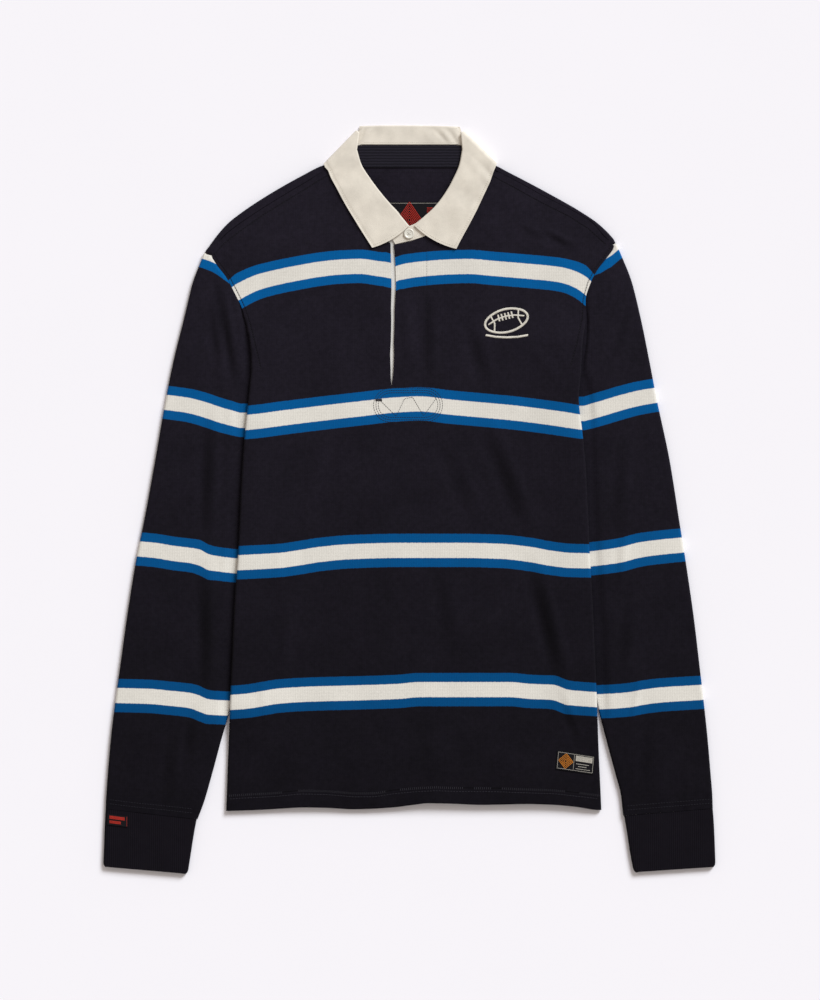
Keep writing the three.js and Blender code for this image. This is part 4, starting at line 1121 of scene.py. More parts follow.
def shade(tree, colour, fac, dark, light):
    """Colour made darker or lighter by a pattern."""
    span = add(tree, MAP_RANGE, {
        "From Min": 0.25, "From Max": 0.75, "To Min": dark, "To Max": light, "Value": fac,
    })
    return add(tree, VECTOR_MATH, {"operation": "SCALE", 0: colour, "Scale": span})


def mottle(tree, colour, place, size, dark, light, detail=2.0, roughness=0.5):
    """Colour made darker and lighter in blotches, about size millimetres across."""
    noise = {"Scale": 1.0 / size, "Detail": detail, "Roughness": roughness, "Vector": place}
    return shade(tree, colour, add(tree, NOISE, noise, "Fac"), dark, light)


def pulled_in(tree, names, width=1.1):
    """One along each sewn line, nothing elsewhere."""
    total = None
    for name in names:
        value = add(tree, ATTRIBUTE, {"attribute_name": name}, "Fac")
        away = add(tree, MATH, {"operation": "SUBTRACT", 0: value, 1: SEWN_LINE})
        away = add(tree, MATH, {"operation": "ABSOLUTE", 0: away})
        near = add(tree, MAP_RANGE, {
            "interpolation_type": "SMOOTHSTEP",
            "From Min": 0.1, "From Max": width, "To Min": 1.0, "To Max": 0.0, "Value": away,
        })
        if total is not None:
            near = add(tree, MATH, {"operation": "MAXIMUM", 0: total, 1: near})
        total = near
    return total


NAVY = "#15121a"
BLUE = "#005796"
IVORY = "#dedad3"
CUFF_NAVY = "#120f16"
WALE = 1.9
COURSE = 1.6


def knit_relief(tree, place):
    """Stocking-knit columns and rows; drawn a little coarser than the real 0.9 mm wales so they show."""
    columns = add(tree, WAVE, {
        "Scale": BAND_SCALE / WALE, "Distortion": 0.6, "Detail": 1.0, "Detail Scale": 2.0, "Vector": place,
    }, "Fac")
    rows = add(tree, WAVE, {
        "bands_direction": "Y",
        "Scale": BAND_SCALE / COURSE, "Distortion": 0.8, "Detail": 1.0, "Detail Scale": 2.0, "Vector": place,
    }, "Fac")
    fuzz = add(tree, NOISE, {"Scale": 1.0 / 0.8, "Detail": 3.0, "Roughness": 0.7, "Vector": place}, "Fac")
    woven = add(tree, MATH, {"operation": "MULTIPLY", 0: columns, 1: rows})
    woven = add(tree, MATH, {"operation": "MULTIPLY", 0: woven, 1: 0.7})
    fuzz = add(tree, MATH, {"operation": "MULTIPLY", 0: fuzz, 1: 0.6})
    return add(tree, MATH, {"operation": "ADD", 0: woven, 1: fuzz})


def striped_jersey():
    """Heavy brushed cotton jersey: matt, faintly hairy at grazing light, with knitted-in stripes."""
    material, tree, shader = new_material("brushed_cotton_jersey", 0.88, 0.03, 0.5, 1.47, 0.08)
    place = millimetres(tree)
    height = add(tree, ATTRIBUTE, {"attribute_name": "cloth_height"}, "Fac")
    ragged = add(tree, NOISE, {"Scale": 1.0 / 1.6, "Detail": 2.0, "Roughness": 0.5, "Vector": place}, "Fac")
    ragged = add(tree, MATH, {"operation": "SUBTRACT", 0: ragged, 1: 0.5})
    ragged = add(tree, MATH, {"operation": "MULTIPLY", 0: ragged, 1: 0.9})
    height = add(tree, MATH, {"operation": "ADD", 0: height, 1: ragged})
    half = STRIPE_REPEAT / 2
    turned = add(tree, MATH, {"operation": "ADD", 0: height, 1: half})
    turned = add(tree, MATH, {"operation": "FLOORED_MODULO", 0: turned, 1: STRIPE_REPEAT})
    away = add(tree, MATH, {"operation": "SUBTRACT", 0: turned, 1: half})
    away = add(tree, MATH, {"operation": "ABSOLUTE", 0: away})
    yarns = []
    for edge in (WHITE_HALF, STRIPE_HALF):
        yarns.append(add(tree, MAP_RANGE, {
            "From Min": edge - 0.35, "From Max": edge + 0.35, "To Min": 0.0, "To Max": 1.0, "Value": away,
        }))
    # Painted light: the navy is made lighter towards the shoulders and darker towards the hem, as if lit
    # from the collar side; washing leaves it uneven.
    up = add(tree, "ShaderNodeSeparateXYZ", {0: place}, "Y")
    navy = add(tree, RGB, {})
    navy.default_value = linear(NAVY)
    # Painted light: the navy's colour is scaled up the cloth, from 0.6 at the hem to 1.62 at the shoulders.
    rise = add(tree, MAP_RANGE, {
        "From Min": -380.0, "From Max": 340.0, "To Min": 0.6, "To Max": 1.62, "Value": up,
    })
    painted_light_mottled_navy = add(tree, VECTOR_MATH, {"operation": "SCALE", 0: navy, "Scale": rise})
    painted_light_mottled_navy = mottle(tree, painted_light_mottled_navy, place, 46.0, 0.86, 1.16, 3.0)
    painted_light_mottled_navy = mottle(tree, painted_light_mottled_navy, place, 4.2, 0.78, 1.22, 3.0, 0.6)
    blue = add(tree, RGB, {})
    blue.default_value = linear(BLUE)
    # Painted light: the blue stripes are also lighter towards the shoulders and darker towards the hem.
    blue_painted_light = add(tree, MAP_RANGE, {
        "From Min": -380.0, "From Max": 340.0, "To Min": 0.55, "To Max": 1.08, "Value": up,
    })
    blue = add(tree, VECTOR_MATH, {"operation": "SCALE", 0: blue, "Scale": blue_painted_light})
    white_blue = add(tree, MIX, {"data_type": "RGBA", 6: linear(IVORY), 0: yarns[0], 7: blue}, 2)
    yarn = add(tree, MIX, {"data_type": "RGBA", 0: yarns[1], 6: white_blue, 7: painted_light_mottled_navy}, 2)
    yarn = mottle(tree, yarn, place, 34.0, 0.96, 1.04)
    yarn = mottle(tree, yarn, place, 1.3, 0.9, 1.1, 2.0, 0.7)
    wales = add(tree, WAVE, {
        "Scale": BAND_SCALE / WALE, "Distortion": 0.6, "Detail": 1.0, "Detail Scale": 2.0, "Vector": place,
    }, "Fac")
    yarn = shade(tree, yarn, wales, 0.96, 1.04)
    # Seams pull the cloth into a groove and darken its colour there: partly the thread sunk in it, partly
    # painted shade in the groove; the stay stitching below the placket does so faintly.
    sewn = pulled_in(tree, ("shoulder_line", "armhole_line", "hem_line"))
    faint = pulled_in(tree, ("placket_line",))
    faint = add(tree, MATH, {"operation": "MULTIPLY", 0: faint, 1: 0.22})
    sewn = add(tree, MATH, {"operation": "MAXIMUM", 0: sewn, 1: faint})
    dark = add(tree, MATH, {"operation": "MULTIPLY", 0: sewn, 1: 0.4})
    dark = add(tree, MATH, {"operation": "SUBTRACT", 0: 1.0, 1: dark})
    # Painted shade: the cloth's colour is darkened along the creases, more on the navy, so the crease looks
    # deeper than its slope.
    shade_in_creases = add(tree, ATTRIBUTE, {"attribute_name": "painted_crease_shade"}, "Fac")
    depth = add(tree, MAP_RANGE, {
        "From Min": 0.0, "From Max": 1.0, "To Min": 0.1, "To Max": 0.4, "Value": yarns[1],
    })
    shade_in_creases = add(tree, MATH, {"operation": "MULTIPLY", 0: shade_in_creases, 1: depth})
    dark = add(tree, MATH, {"operation": "SUBTRACT", 0: dark, 1: shade_in_creases})
    yarn = add(tree, VECTOR_MATH, {"operation": "SCALE", 0: yarn, "Scale": dark})
    tree.links.new(yarn, shader.inputs["Base Color"])
    worn = add(tree, NOISE, {"Scale": 1.0 / 9.0, "Detail": 3.0, "Roughness": 0.5, "Vector": place}, "Fac")
    worn = add(tree, MAP_RANGE, {
        "From Min": 0.3, "From Max": 0.7, "To Min": 0.82, "To Max": 0.94, "Value": worn,
    })
    tree.links.new(worn, shader.inputs["Roughness"])
    relief = knit_relief(tree, place)
    sunk = add(tree, MATH, {"operation": "MULTIPLY", 0: sewn, 1: 2.4})
    relief = add(tree, MATH, {"operation": "SUBTRACT", 0: relief, 1: sunk})
    bump = add(tree, BUMP, {"Distance": 0.18 * MM, "Strength": 0.8, "Height": relief})
    tree.links.new(bump, shader.inputs["Normal"])
    return material


def rib_knit():
    """Fine one-by-one rib of the cuffs: close upright ribs, a little darker than the body."""
    material, tree, shader = new_material("fine_rib_knit", 0.9, 0.02, 0.5, 1.47, 0.08)
    place = millimetres(tree)
    colour = add(tree, RGB, {})
    colour.default_value = linear(CUFF_NAVY)
    yarn = mottle(tree, colour, place, 22.0, 0.92, 1.08)
    ribs = add(tree, WAVE, {
        "Scale": BAND_SCALE / 2.1, "Distortion": 0.3, "Detail": 0.5, "Detail Scale": 2.0, "Vector": place,
    }, "Fac")
    yarn = shade(tree, yarn, ribs, 0.86, 1.1)
    yarn = mottle(tree, yarn, place, 1.2, 0.88, 1.12, 2.0, 0.7)
    tree.links.new(yarn, shader.inputs["Base Color"])
    worn = add(tree, NOISE, {"Scale": 1.0 / 7.0, "Detail": 2.0, "Roughness": 0.5, "Vector": place}, "Fac")
    worn = add(tree, MAP_RANGE, {
        "From Min": 0.3, "From Max": 0.7, "To Min": 0.84, "To Max": 0.95, "Value": worn,
    })
    tree.links.new(worn, shader.inputs["Roughness"])
    fuzz = add(tree, NOISE, {"Scale": 1.0 / 0.9, "Detail": 3.0, "Roughness": 0.5, "Vector": place}, "Fac")
    fuzz = add(tree, MATH, {"operation": "MULTIPLY", 0: fuzz, 1: 0.4})
    relief = add(tree, MATH, {"operation": "ADD", 0: ribs, 1: fuzz})
    bump = add(tree, BUMP, {"Distance": 0.3 * MM, "Strength": 0.9, "Height": relief})
    tree.links.new(bump, shader.inputs["Normal"])
    return material


def washed_twill(name, hex_colour):
    """Washed cotton twill: fine slanting ribs, matt, faintly uneven from washing."""
    material, tree, shader = new_material(name, 0.82, 0.1, 0.5, 1.47, 0.35)
    place = millimetres(tree)
    colour = add(tree, RGB, {})
    colour.default_value = linear(hex_colour)
    slant = add(tree, MAPPING, {"Rotation": (0.0, 0.0, math.radians(28)), "Vector": place})
    ribs = add(tree, WAVE, {
        "Scale": BAND_SCALE / 1.0, "Distortion": 0.5, "Detail": 1.0, "Detail Scale": 2.0, "Vector": slant,
    }, "Fac")
    yarn = mottle(tree, colour, place, 16.0, 0.9, 1.1, 3.0)
    yarn = shade(tree, yarn, ribs, 0.965, 1.02)
    yarn = mottle(tree, yarn, place, 1.1, 0.96, 1.03, 2.0, 0.8)
    tree.links.new(yarn, shader.inputs["Base Color"])
    worn = add(tree, NOISE, {"Scale": 1.0 / 8.0, "Detail": 2.0, "Roughness": 0.5, "Vector": place}, "Fac")
    worn = add(tree, MAP_RANGE, {
        "From Min": 0.3, "From Max": 0.7, "To Min": 0.76, "To Max": 0.88, "Value": worn,
    })
    tree.links.new(worn, shader.inputs["Roughness"])
    fuzz = add(tree, NOISE, {"Scale": 1.0 / 0.9, "Detail": 3.0, "Roughness": 0.5, "Vector": place}, "Fac")
    fuzz = add(tree, MATH, {"operation": "MULTIPLY", 0: fuzz, 1: 0.8})
    relief = add(tree, MATH, {"operation": "ADD", 0: ribs, 1: fuzz})
    bump = add(tree, BUMP, {"Distance": 0.12 * MM, "Strength": 0.8, "Height": relief})
    tree.links.new(bump, shader.inputs["Normal"])
    return material


def ribbed_tape():
    """Cotton herringbone tape over the neck seam: dark, with close cross ribs."""
    material, tree, shader = new_material("herringbone_cotton_tape", 0.88, 0.03, 0.5, 1.47, 0.1)
    place = millimetres(tree)
    colour = add(tree, RGB, {})
    colour.default_value = linear("#201e27")
    ribs = add(tree, WAVE, {
        "bands_direction": "Y",
        "Scale": BAND_SCALE / 3.1, "Distortion": 0.9, "Detail": 1.0, "Detail Scale": 2.0, "Vector": place,
    }, "Fac")
    slant = add(tree, MAPPING, {"Rotation": (0.0, 0.0, math.radians(45)), "Vector": place})
    slant = add(tree, WAVE, {
        "Scale": BAND_SCALE / 1.1, "Distortion": 0.3, "Detail": 0.0, "Detail Scale": 2.0, "Vector": slant,
    }, "Fac")
    yarn = shade(tree, colour, ribs, 0.66, 1.24)
    yarn = shade(tree, yarn, slant, 0.88, 1.12)
    yarn = mottle(tree, yarn, place, 1.4, 0.9, 1.1)
    tree.links.new(yarn, shader.inputs["Base Color"])
    slant = add(tree, MATH, {"operation": "MULTIPLY", 0: slant, 1: 0.4})
    relief = add(tree, MATH, {"operation": "ADD", 0: ribs, 1: slant})
    bump = add(tree, BUMP, {"Distance": 0.35 * MM, "Strength": 0.9, "Height": relief})
    tree.links.new(bump, shader.inputs["Normal"])
    return material


def woven_label_cloth():
    """Damask label: smooth dark satin ground with a very fine weave."""
    material, tree, shader = new_material("damask_label", 0.7, 0.02, 0.4, 1.5, 0.15)
    place = millimetres(tree)
    colour = add(tree, RGB, {})
    colour.default_value = linear("#0e0c12")
    yarns = []
    for direction in "XY":
        yarns.append(add(tree, WAVE, {
            "bands_direction": direction,
            "Scale": BAND_SCALE / 0.7, "Distortion": 0.2, "Detail": 0.0, "Detail Scale": 2.0,
            "Vector": place,
        }, "Fac"))
    weave = add(tree, MATH, {"operation": "MULTIPLY", 0: yarns[0], 1: yarns[1]})
    yarn = shade(tree, colour, weave, 0.85, 1.18)
    yarn = mottle(tree, yarn, place, 5.0, 0.92, 1.08)
    tree.links.new(yarn, shader.inputs["Base Color"])
    bump = add(tree, BUMP, {"Distance": 0.1 * MM, "Strength": 0.8, "Height": weave})
    tree.links.new(bump, shader.inputs["Normal"])
    return material


def sewing_thread(name, hex_colour, roughness=0.6):
    """Spun polyester thread: slightly glossy, with the slant of its twist."""
    material, tree, shader = new_material(name, roughness, 0.04, 0.4, 1.5, 0.2)
    place = millimetres(tree)
    colour = add(tree, RGB, {})
    colour.default_value = linear(hex_colour)
    slant = add(tree, MAPPING, {"Rotation": (0.0, 0.0, math.radians(35)), "Vector": place})
    twist = add(tree, WAVE, {
        "Scale": BAND_SCALE / 0.45, "Distortion": 0.2, "Detail": 0.0, "Detail Scale": 2.0, "Vector": slant,
    }, "Fac")
    yarn = shade(tree, colour, twist, 0.88, 1.08)
    yarn = mottle(tree, yarn, place, 6.0, 0.9, 1.08)
    tree.links.new(yarn, shader.inputs["Base Color"])
    bump = add(tree, BUMP, {"Distance": 0.06 * MM, "Strength": 0.8, "Height": twist})
    tree.links.new(bump, shader.inputs["Normal"])
    return material


def milky_button():
    """Cast polyester shirt button: milky, softly glossy, with pearly clouds."""
    material, tree, shader = new_material("milky_cast_polyester", 0.3, 0.0, 0.5, 1.55, 0.5)
    shader.inputs["Coat Weight"].default_value = 0.25
    shader.inputs["Coat Roughness"].default_value = 0.12
    place = millimetres(tree)
    colour = add(tree, RGB, {})
    colour.default_value = linear("#e4e0d6")
    cloud = add(tree, NOISE, {"Scale": 0.35, "Detail": 3.0, "Distortion": 1.6, "Vector": place}, "Fac")
    tree.links.new(shade(tree, colour, cloud, 0.9, 1.05), shader.inputs["Base Color"])
    worn = add(tree, MAP_RANGE, {
        "From Min": 0.3, "From Max": 0.7, "To Min": 0.24, "To Max": 0.38, "Value": cloud,
    })
    tree.links.new(worn, shader.inputs["Roughness"])
    bump = add(tree, BUMP, {"Distance": 0.03 * MM, "Strength": 0.4, "Height": cloud})
    tree.links.new(bump, shader.inputs["Normal"])
    return material


def studio_paper():
    """Matt white studio paper under the shirt."""
    material, tree, shader = new_material("matt_studio_paper", 0.95, 0.0, 0.5, 1.45, 0.1)
    place = millimetres(tree)
    colour = add(tree, RGB, {})
    colour.default_value = linear("#faf8ff")
    tree.links.new(mottle(tree, colour, place, 160.0, 0.997, 1.003), shader.inputs["Base Color"])
    return material


jersey = striped_jersey()
rib = rib_knit()
twill = washed_twill("washed_ivory_twill", "#e2dace")
placket_twill = washed_twill("washed_white_twill", "#e0dedb")
tape_cloth = ribbed_tape()
label_cloth = woven_label_cloth()
navy_thread = sewing_thread("navy_sewing_thread", "#1a1820", 0.75)
grey_thread = sewing_thread("slate_sewing_thread", "#3a3841", 0.7)
dark_thread = sewing_thread("ink_sewing_thread", "#22212a", 0.6)
ivory_thread = sewing_thread("ivory_sewing_thread", "#e4dfd5", 0.6)
red_thread = sewing_thread("red_label_thread", "#bd3429", 0.55)
orange_thread = sewing_thread("orange_label_thread", "#dc8a2e", 0.55)
pale_thread = sewing_thread("pale_label_thread", "#c9c4bb", 0.55)
button_stuff = milky_button()


def dress(obj, material, slot, *nodes):
    obj.data.materials.clear()
    obj.data.materials.append(material)
    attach(obj, "root")
    if nodes:
        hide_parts(*nodes)
    return obj


# Body

front_grid = lift_hem(panel_grid(FRONT_LEFT, FRONT_RIGHT, BODY_SHAPE, 3, 2.9, 1.0), 0.55)
front = cloth_wall("front_panel", front_grid, JERSEY)
front = cut_through(front, [NECK_HOLE, PLACKET_WEDGE])
front.data.set_sharp_from_angle(angle=SHARP_EDGE)
knit_stripes(front, BODY_STRIPES, BODY_CREASES)
dress(front, jersey, "navy_jersey", "front")
on_front = lying_on(front)

back_grid = lift_hem(panel_grid(BACK_LEFT, BACK_RIGHT, (BACK_FOLDS, NO_FOLDS), 5, 3.2, 0.0), 0.0)
# Where the back's shoulder wrap ends at the left armhole, its end slants down along the seam.
wrap_end = smooth((692 - back_grid[..., 1]) / 9) * (back_grid[..., 2] > 2.2) * (back_grid[..., 0] < -208)
back_grid[..., 1] -= wrap_end * (back_grid[..., 1] > 677) * np.clip(225 + back_grid[..., 0], 0, 14) * 0.34
back = cloth_wall("back_panel", back_grid, JERSEY)
knit_stripes(back, BODY_STRIPES, NO_FOLDS)
dress(back, jersey, "navy_jersey", "back")
on_back = lying_on(back)

# Sleeves and cuffs

sleeve_left_grid = tube_grid(SLEEVE_LEFT, ARMHOLE_LEFT, SLEEVE_TOP, SLEEVE_SHAPE, 3.4, 0.9, 11)
sleeve_left_grid = tuck_first_ring(sleeve_left_grid, 3.5)
sleeve_left = cloth_wall("left_sleeve", sleeve_left_grid[:, ::-1], JERSEY, True)
knit_stripes(sleeve_left, LEFT_STRIPES, SLEEVE_CREASES)
dress(sleeve_left, jersey, "navy_jersey", "sleeve_left")

sleeve_right_grid = tube_grid(SLEEVE_RIGHT, ARMHOLE_RIGHT, SLEEVE_TOP, SLEEVE_SHAPE, 3.4, 0.9, 13)
sleeve_right_grid = tuck_first_ring(sleeve_right_grid, 3.5)
sleeve_right = cloth_wall("right_sleeve", sleeve_right_grid, JERSEY, True)
knit_stripes(sleeve_right, RIGHT_STRIPES, SLEEVE_CREASES)
dress(sleeve_right, jersey, "navy_jersey", "sleeve_right")

cuff_left_grid = tube_grid(CUFF_LEFT, ARMHOLE_LEFT, CUFF_TOP, (NO_FOLDS, NO_FOLDS), 2.0, 0.5, 17, True)
cuff_left_grid = soften_corners(cuff_left_grid, 2.2)
cuff_left = cloth_wall("left_cuff", cuff_left_grid[:, ::-1], JERSEY, True)
dress(cuff_left, rib, "cuff_rib", "cuff_left")
cuff_right_grid = tube_grid(CUFF_RIGHT, ARMHOLE_RIGHT, CUFF_TOP, (NO_FOLDS, NO_FOLDS), 2.0, 0.5, 19, True)
cuff_right_grid = soften_corners(cuff_right_grid, 2.2)
cuff_right = cloth_wall("right_cuff", cuff_right_grid, JERSEY, True)
dress(cuff_right, rib, "cuff_rib", "cuff_right")

# Collar

def fall_relief(rx, ry, place, length, up):
    """The leaf's topstitched edge, its crown and its small waves."""
    edge = length - place
    groove = -0.5 * np.exp(-(((edge - 2.8) / 0.9) ** 2))
    ridge = 0.12 * smooth((3.4 - edge) / 1.6)
    if up < 0.5:
        return groove + ridge
    share = np.clip(place / length, 0, 1)
    crown = 0.5 * np.sin(math.pi * share)
    wave = 0.4 * math.sin(ry / 6.5 + rx / 30) + 0.22 * np.sin(ry / 3.6 + place / 7)
    wave = wave * share * (1 - share) * 4
    ripple = 0.26 * np.sin(ry / 3.1 + place / 5) * smooth((place - length + 16) / 12)
    return groove + ridge + crown + wave + ripple


# Wrinkles of the standing collar: place along the neck, slant, width and depth
STAND_WRINKLES = (
    (-53, 0.25, 2.2, 1.3), (-47, 0.45, 2.6, -1.1), (-41, 0.7, 2.8, 1.1), (-33, 0.5, 3.5, -0.6),
    (-12, 0.1, 6.0, 0.4), (14, -0.5, 4.0, 0.55), (24, -0.8, 2.8, -0.7), (33, -0.6, 2.6, 0.9),
    (41, -0.5, 2.4, -0.7), (49, -0.3, 2.2, 0.8),
)


def stand_relief(rx, ry, place, length, up):
    """The stand's wrinkles at the back of the neck; its front ends lie smooth."""
    if up > -0.5:
        return np.zeros_like(place)
    total = np.zeros_like(place)
    for spot, slant, width, depth in STAND_WRINKLES:
        total -= depth * np.exp(-(((rx + slant * place - spot) / width) ** 2))
    return total * np.sin(math.pi * np.clip(place / length, 0, 1)) * 0.8


fall_rulings = (
    flat_rulings(FALL_LEFT, 1, 62)
    + fold_rulings(FOLD_LEFT, 51.6, False)
    + flat_rulings(FALL_BACK, -1, 36)
    + fold_rulings(FOLD_RIGHT, 51, True)
    + flat_rulings(FALL_RIGHT[::-1], 1, 62)
)
fall_grid = strip_grid(fall_rulings, 1, 34, fall_relief)
collar = cloth_wall("collar_fall", fall_grid, COLLAR)
dress(collar, twill, "ivory_twill", "collar")
on_collar = lying_on(collar)

stand_rulings = (
    flat_rulings(STAND_LEFT, 1, 48, True)
    + fold_rulings(FOLD_LEFT, 27.5, False)
    + flat_rulings(STAND_BACK, -1, 60, True)
    + fold_rulings(FOLD_RIGHT, 27.5, True)
    + flat_rulings(STAND_RIGHT[::-1], 1, 56, True)
)
stand_grid = strip_grid(stand_rulings, -1, 16, stand_relief)
collar_stand = cloth_wall("stand_of_collar", stand_grid[:, ::-1], COLLAR)
dress(collar_stand, twill, "ivory_twill", "collar_stand")
on_stand = lying_on(collar_stand)


def patch_grid(corners, across, up, height):
    """A four-cornered piece of cloth, from its lower left corner round, lying at a height."""
    a, b, c, d = [np.array(corner, float) for corner in corners]
    s, t = np.meshgrid(np.linspace(0, 1, across + 1), np.linspace(0, 1, up + 1))
    s = s[..., None]
    t = t[..., None]
    plan = mix(mix(a, b, s), mix(d, c, s), t)
    z = np.array([[height(x, y) for x, y in row] for row in plan])
    return np.concatenate([plan, z[..., None]], axis=2)


# Placket facing, tape and labels

def under_front(x, y):
    """Where the facing lies, just below the front's cloth."""
    left = gentle(FRONT_LEFT["y"], FRONT_LEFT["middle"], y)
    waves = laid_relief(BODY_SHAPE, x, y) + cloth_waviness(x, y, 3)
    return float(left + waves) - JERSEY / 2 - SEAM_GAP - TAPE / 2


UNDER_PLACKET = [(-30, 528), (8, 528), (6, 699), (-27, 699)]
placket_under = cloth_wall("placket_facing", patch_grid(UNDER_PLACKET, 26, 80, under_front), TAPE)
dress(placket_under, placket_twill, "ivory_twill", "placket_under")

NECK_TAPE = [(-58, 777), (59, 777), (62, 801), (-61, 801)]
tape_grid = patch_grid(NECK_TAPE, 70, 26, lambda x, y: 2.6 + JERSEY / 2 + SEAM_GAP + TAPE / 2)
tape_rows = (tape_grid[..., 1] - 777) / 3.1
tape_grid[..., 2] += 0.12 * np.cos(tape_rows * 2 * math.pi) - 0.05
neck_tape = cloth_wall("neck_seam_tape", tape_grid, TAPE)
dress(neck_tape, tape_cloth, "neck_tape", "neck_tape")
on_tape = lying_on(neck_tape)

NECK_LABEL = [(-32, 694), (32, 694), (32, 739), (-32, 739)]
label_rise = FLOOR + JERSEY / 2 + SEAM_GAP + TRIM / 2 + 0.25
neck_label = cloth_wall("size_label", patch_grid(NECK_LABEL, 32, 22, lambda x, y: label_rise), TRIM)
dress(neck_label, label_cloth, "woven_label", "neck_label")
on_neck_label = lying_on(neck_label)

HEM_LABEL = [(160.6, 115.8), (202.1, 109.7), (204, 129.8), (162.5, 136.3)]
hem_grid = patch_grid(HEM_LABEL, 30, 16, lambda x, y: on_front(x, y) + 0.15 + TRIM / 2)
hem_label = cloth_wall("hem_side_label", hem_grid, TRIM)
dress(hem_label, label_cloth, "woven_label", "hem_label")
on_hem_label = lying_on(hem_label)

CUFF_LABEL = [(-332, 54.5), (-309.5, 52), (-309.5, 63.5), (-332, 66.5)]
on_cuff = lying_on(cuff_left)
cuff_patch = patch_grid(CUFF_LABEL, 18, 10, lambda x, y: on_cuff(x, y) + 0.15 + TRIM / 2)
cuff_label = cloth_wall("cuff_side_label", cuff_patch, TRIM)
dress(cuff_label, label_cloth, "woven_label", "cuff_label")
on_cuff_label = lying_on(cuff_label)


# Button

def around(centre, radius, angles):
    return [(centre[0] + radius * math.cos(a), centre[1] + radius * math.sin(a)) for a in angles]


def lathe(name, profile, centre, sides):
    angles = [2 * math.pi * k / sides for k in range(sides)]
    points = []
    faces = []
    for radius, z in profile:
        points += [(x, y, centre[2] + z) for x, y in around(centre, radius, angles)]
    for ring in range(len(profile) - 1):
        for k in range(sides):
            a = ring * sides + k
            b = ring * sides + (k + 1) % sides
            faces.append((a, b, b + sides, a + sides))
    faces.append(tuple(range(sides))[::-1])
    last = (len(profile) - 1) * sides
    faces.append(tuple(last + k for k in range(sides)))
    obj = mesh_object(name, points, faces)
    face_outwards(obj.data)
    return obj


BUTTON = (-0.5, 704.0, 6.72)
BUTTON_PROFILE = [
    (3.6, 0.0), (5.2, 0.15), (5.6, 0.5), (5.7, 0.95), (5.55, 1.4), (5.15, 1.7), (4.65, 1.78),
    (4.2, 1.6), (3.8, 1.28), (3.2, 1.16), (0.4, 1.12),
]
button = lathe("button", BUTTON_PROFILE, BUTTON, 48)
HOLE_OFFSET = 1.1
HOLE_RADIUS = 0.62
hole_angles = [2 * math.pi * k / 14 for k in range(14)]
holes = []
for hx, hy in ((1, 1), (-1, 1), (-1, -1), (1, -1)):
    hole = (BUTTON[0] + hx * HOLE_OFFSET, BUTTON[1] + hy * HOLE_OFFSET)
    holes.append(around(hole, HOLE_RADIUS, hole_angles))
button = cut_through(button, holes)
shade_smooth(button.data, BUTTON_SHARP_EDGE)
dress(button, button_stuff, "pearl_button", "collar_button")

cross = []
for sx, sy in ((1, 1), (-1, 1)):
    for aside in (-0.24, 0.0, 0.24):
        cross.append((
            BUTTON[0] - sy * aside * 0.7, BUTTON[1] + sx * aside * 0.7, BUTTON[2] + 1.2,
            sx * 0.7071, sy * 0.7071, 1.75, 0.24,
        ))
button_thread = thread_mesh("button_thread", cross)
dress(button_thread, ivory_thread, "ivory_twill")

# Sewing on the body

def beside(path, distance):
    """The path moved to its left by a distance."""
    path = np.array(path, float)
    heading = np.gradient(path, axis=0)
    heading /= np.linalg.norm(heading, axis=1)[:, None]
    return path + np.stack([-heading[:, 1], heading[:, 0]], axis=1) * distance


HEM_STITCH = [(-198, 86.3), (-189.8, 86.9), (-148, 89.1), (-119.4, 92), (-90, 91.2), (-60, 88.7),
              (-38, 88.9), (-16, 92.4), (6, 94.4), (28, 95.7), (50, 94.8), (96.3, 94.5), (118, 93.6),
              (160, 92.2), (197, 88), (207, 86.6)]


def upright_stitches(path, height, pitch, tall, radius):
    """Short stitches across a hem line, the face of a coverstitch."""
    points, heading = spread(path, pitch)
    stitches = []
    for (x, y), (ux, uy) in zip(points, heading):
        z = height(x, y)
        shown = math.sin(x / 17.0) + 0.6 * math.sin(x / 6.1 + 1.0)
        if z > 0 and shown > -0.9:
            stitches.append((x, y, z - 0.12, -uy, ux, tall / 2, radius))
    return stitches


hem_path, _ = spread(HEM_STITCH, 6.0)
hem_stitches = upright_stitches(hem_path, on_front, 2.2, 3.0, 0.24)
hem_stitches += running_stitch(hem_path - (0, 3.6), on_front, 3.2, 0.7, 0.2, -0.1)
hem_thread = thread_mesh("hem_coverstitch", hem_stitches)
dress(hem_thread, grey_thread, "navy_jersey")

LEFT_SHOULDER = [(-214, 681), (-209, 688), (-199, 697), (-184, 708.3), (-161, 724.3), (-131, 742.7),
                 (-108, 756.8), (-84, 771.5)]
RIGHT_SHOULDER = [(217, 691), (209, 697.5), (197, 708.8), (176, 722.3), (146, 737.3), (117, 753.3),
                  (86, 769.8)]
left_arm = beside(np.stack([ARMHOLE_LEFT["x"][1:9], ARMHOLE_LEFT["y"][1:9]], axis=1), 3.4)
right_arm = beside(np.stack([ARMHOLE_RIGHT["x"][1:9], ARMHOLE_RIGHT["y"][1:9]], axis=1), -3.4)
PLACKET_LINE = [(19.0, 706), (19.0, 640), (19.0, 580), (19.0, 536)]
sew_line(front, "shoulder_line", LEFT_SHOULDER, RIGHT_SHOULDER)
sew_line(front, "armhole_line", left_arm, right_arm)
sew_line(front, "hem_line", hem_path)
sew_line(front, "placket_line", PLACKET_LINE)

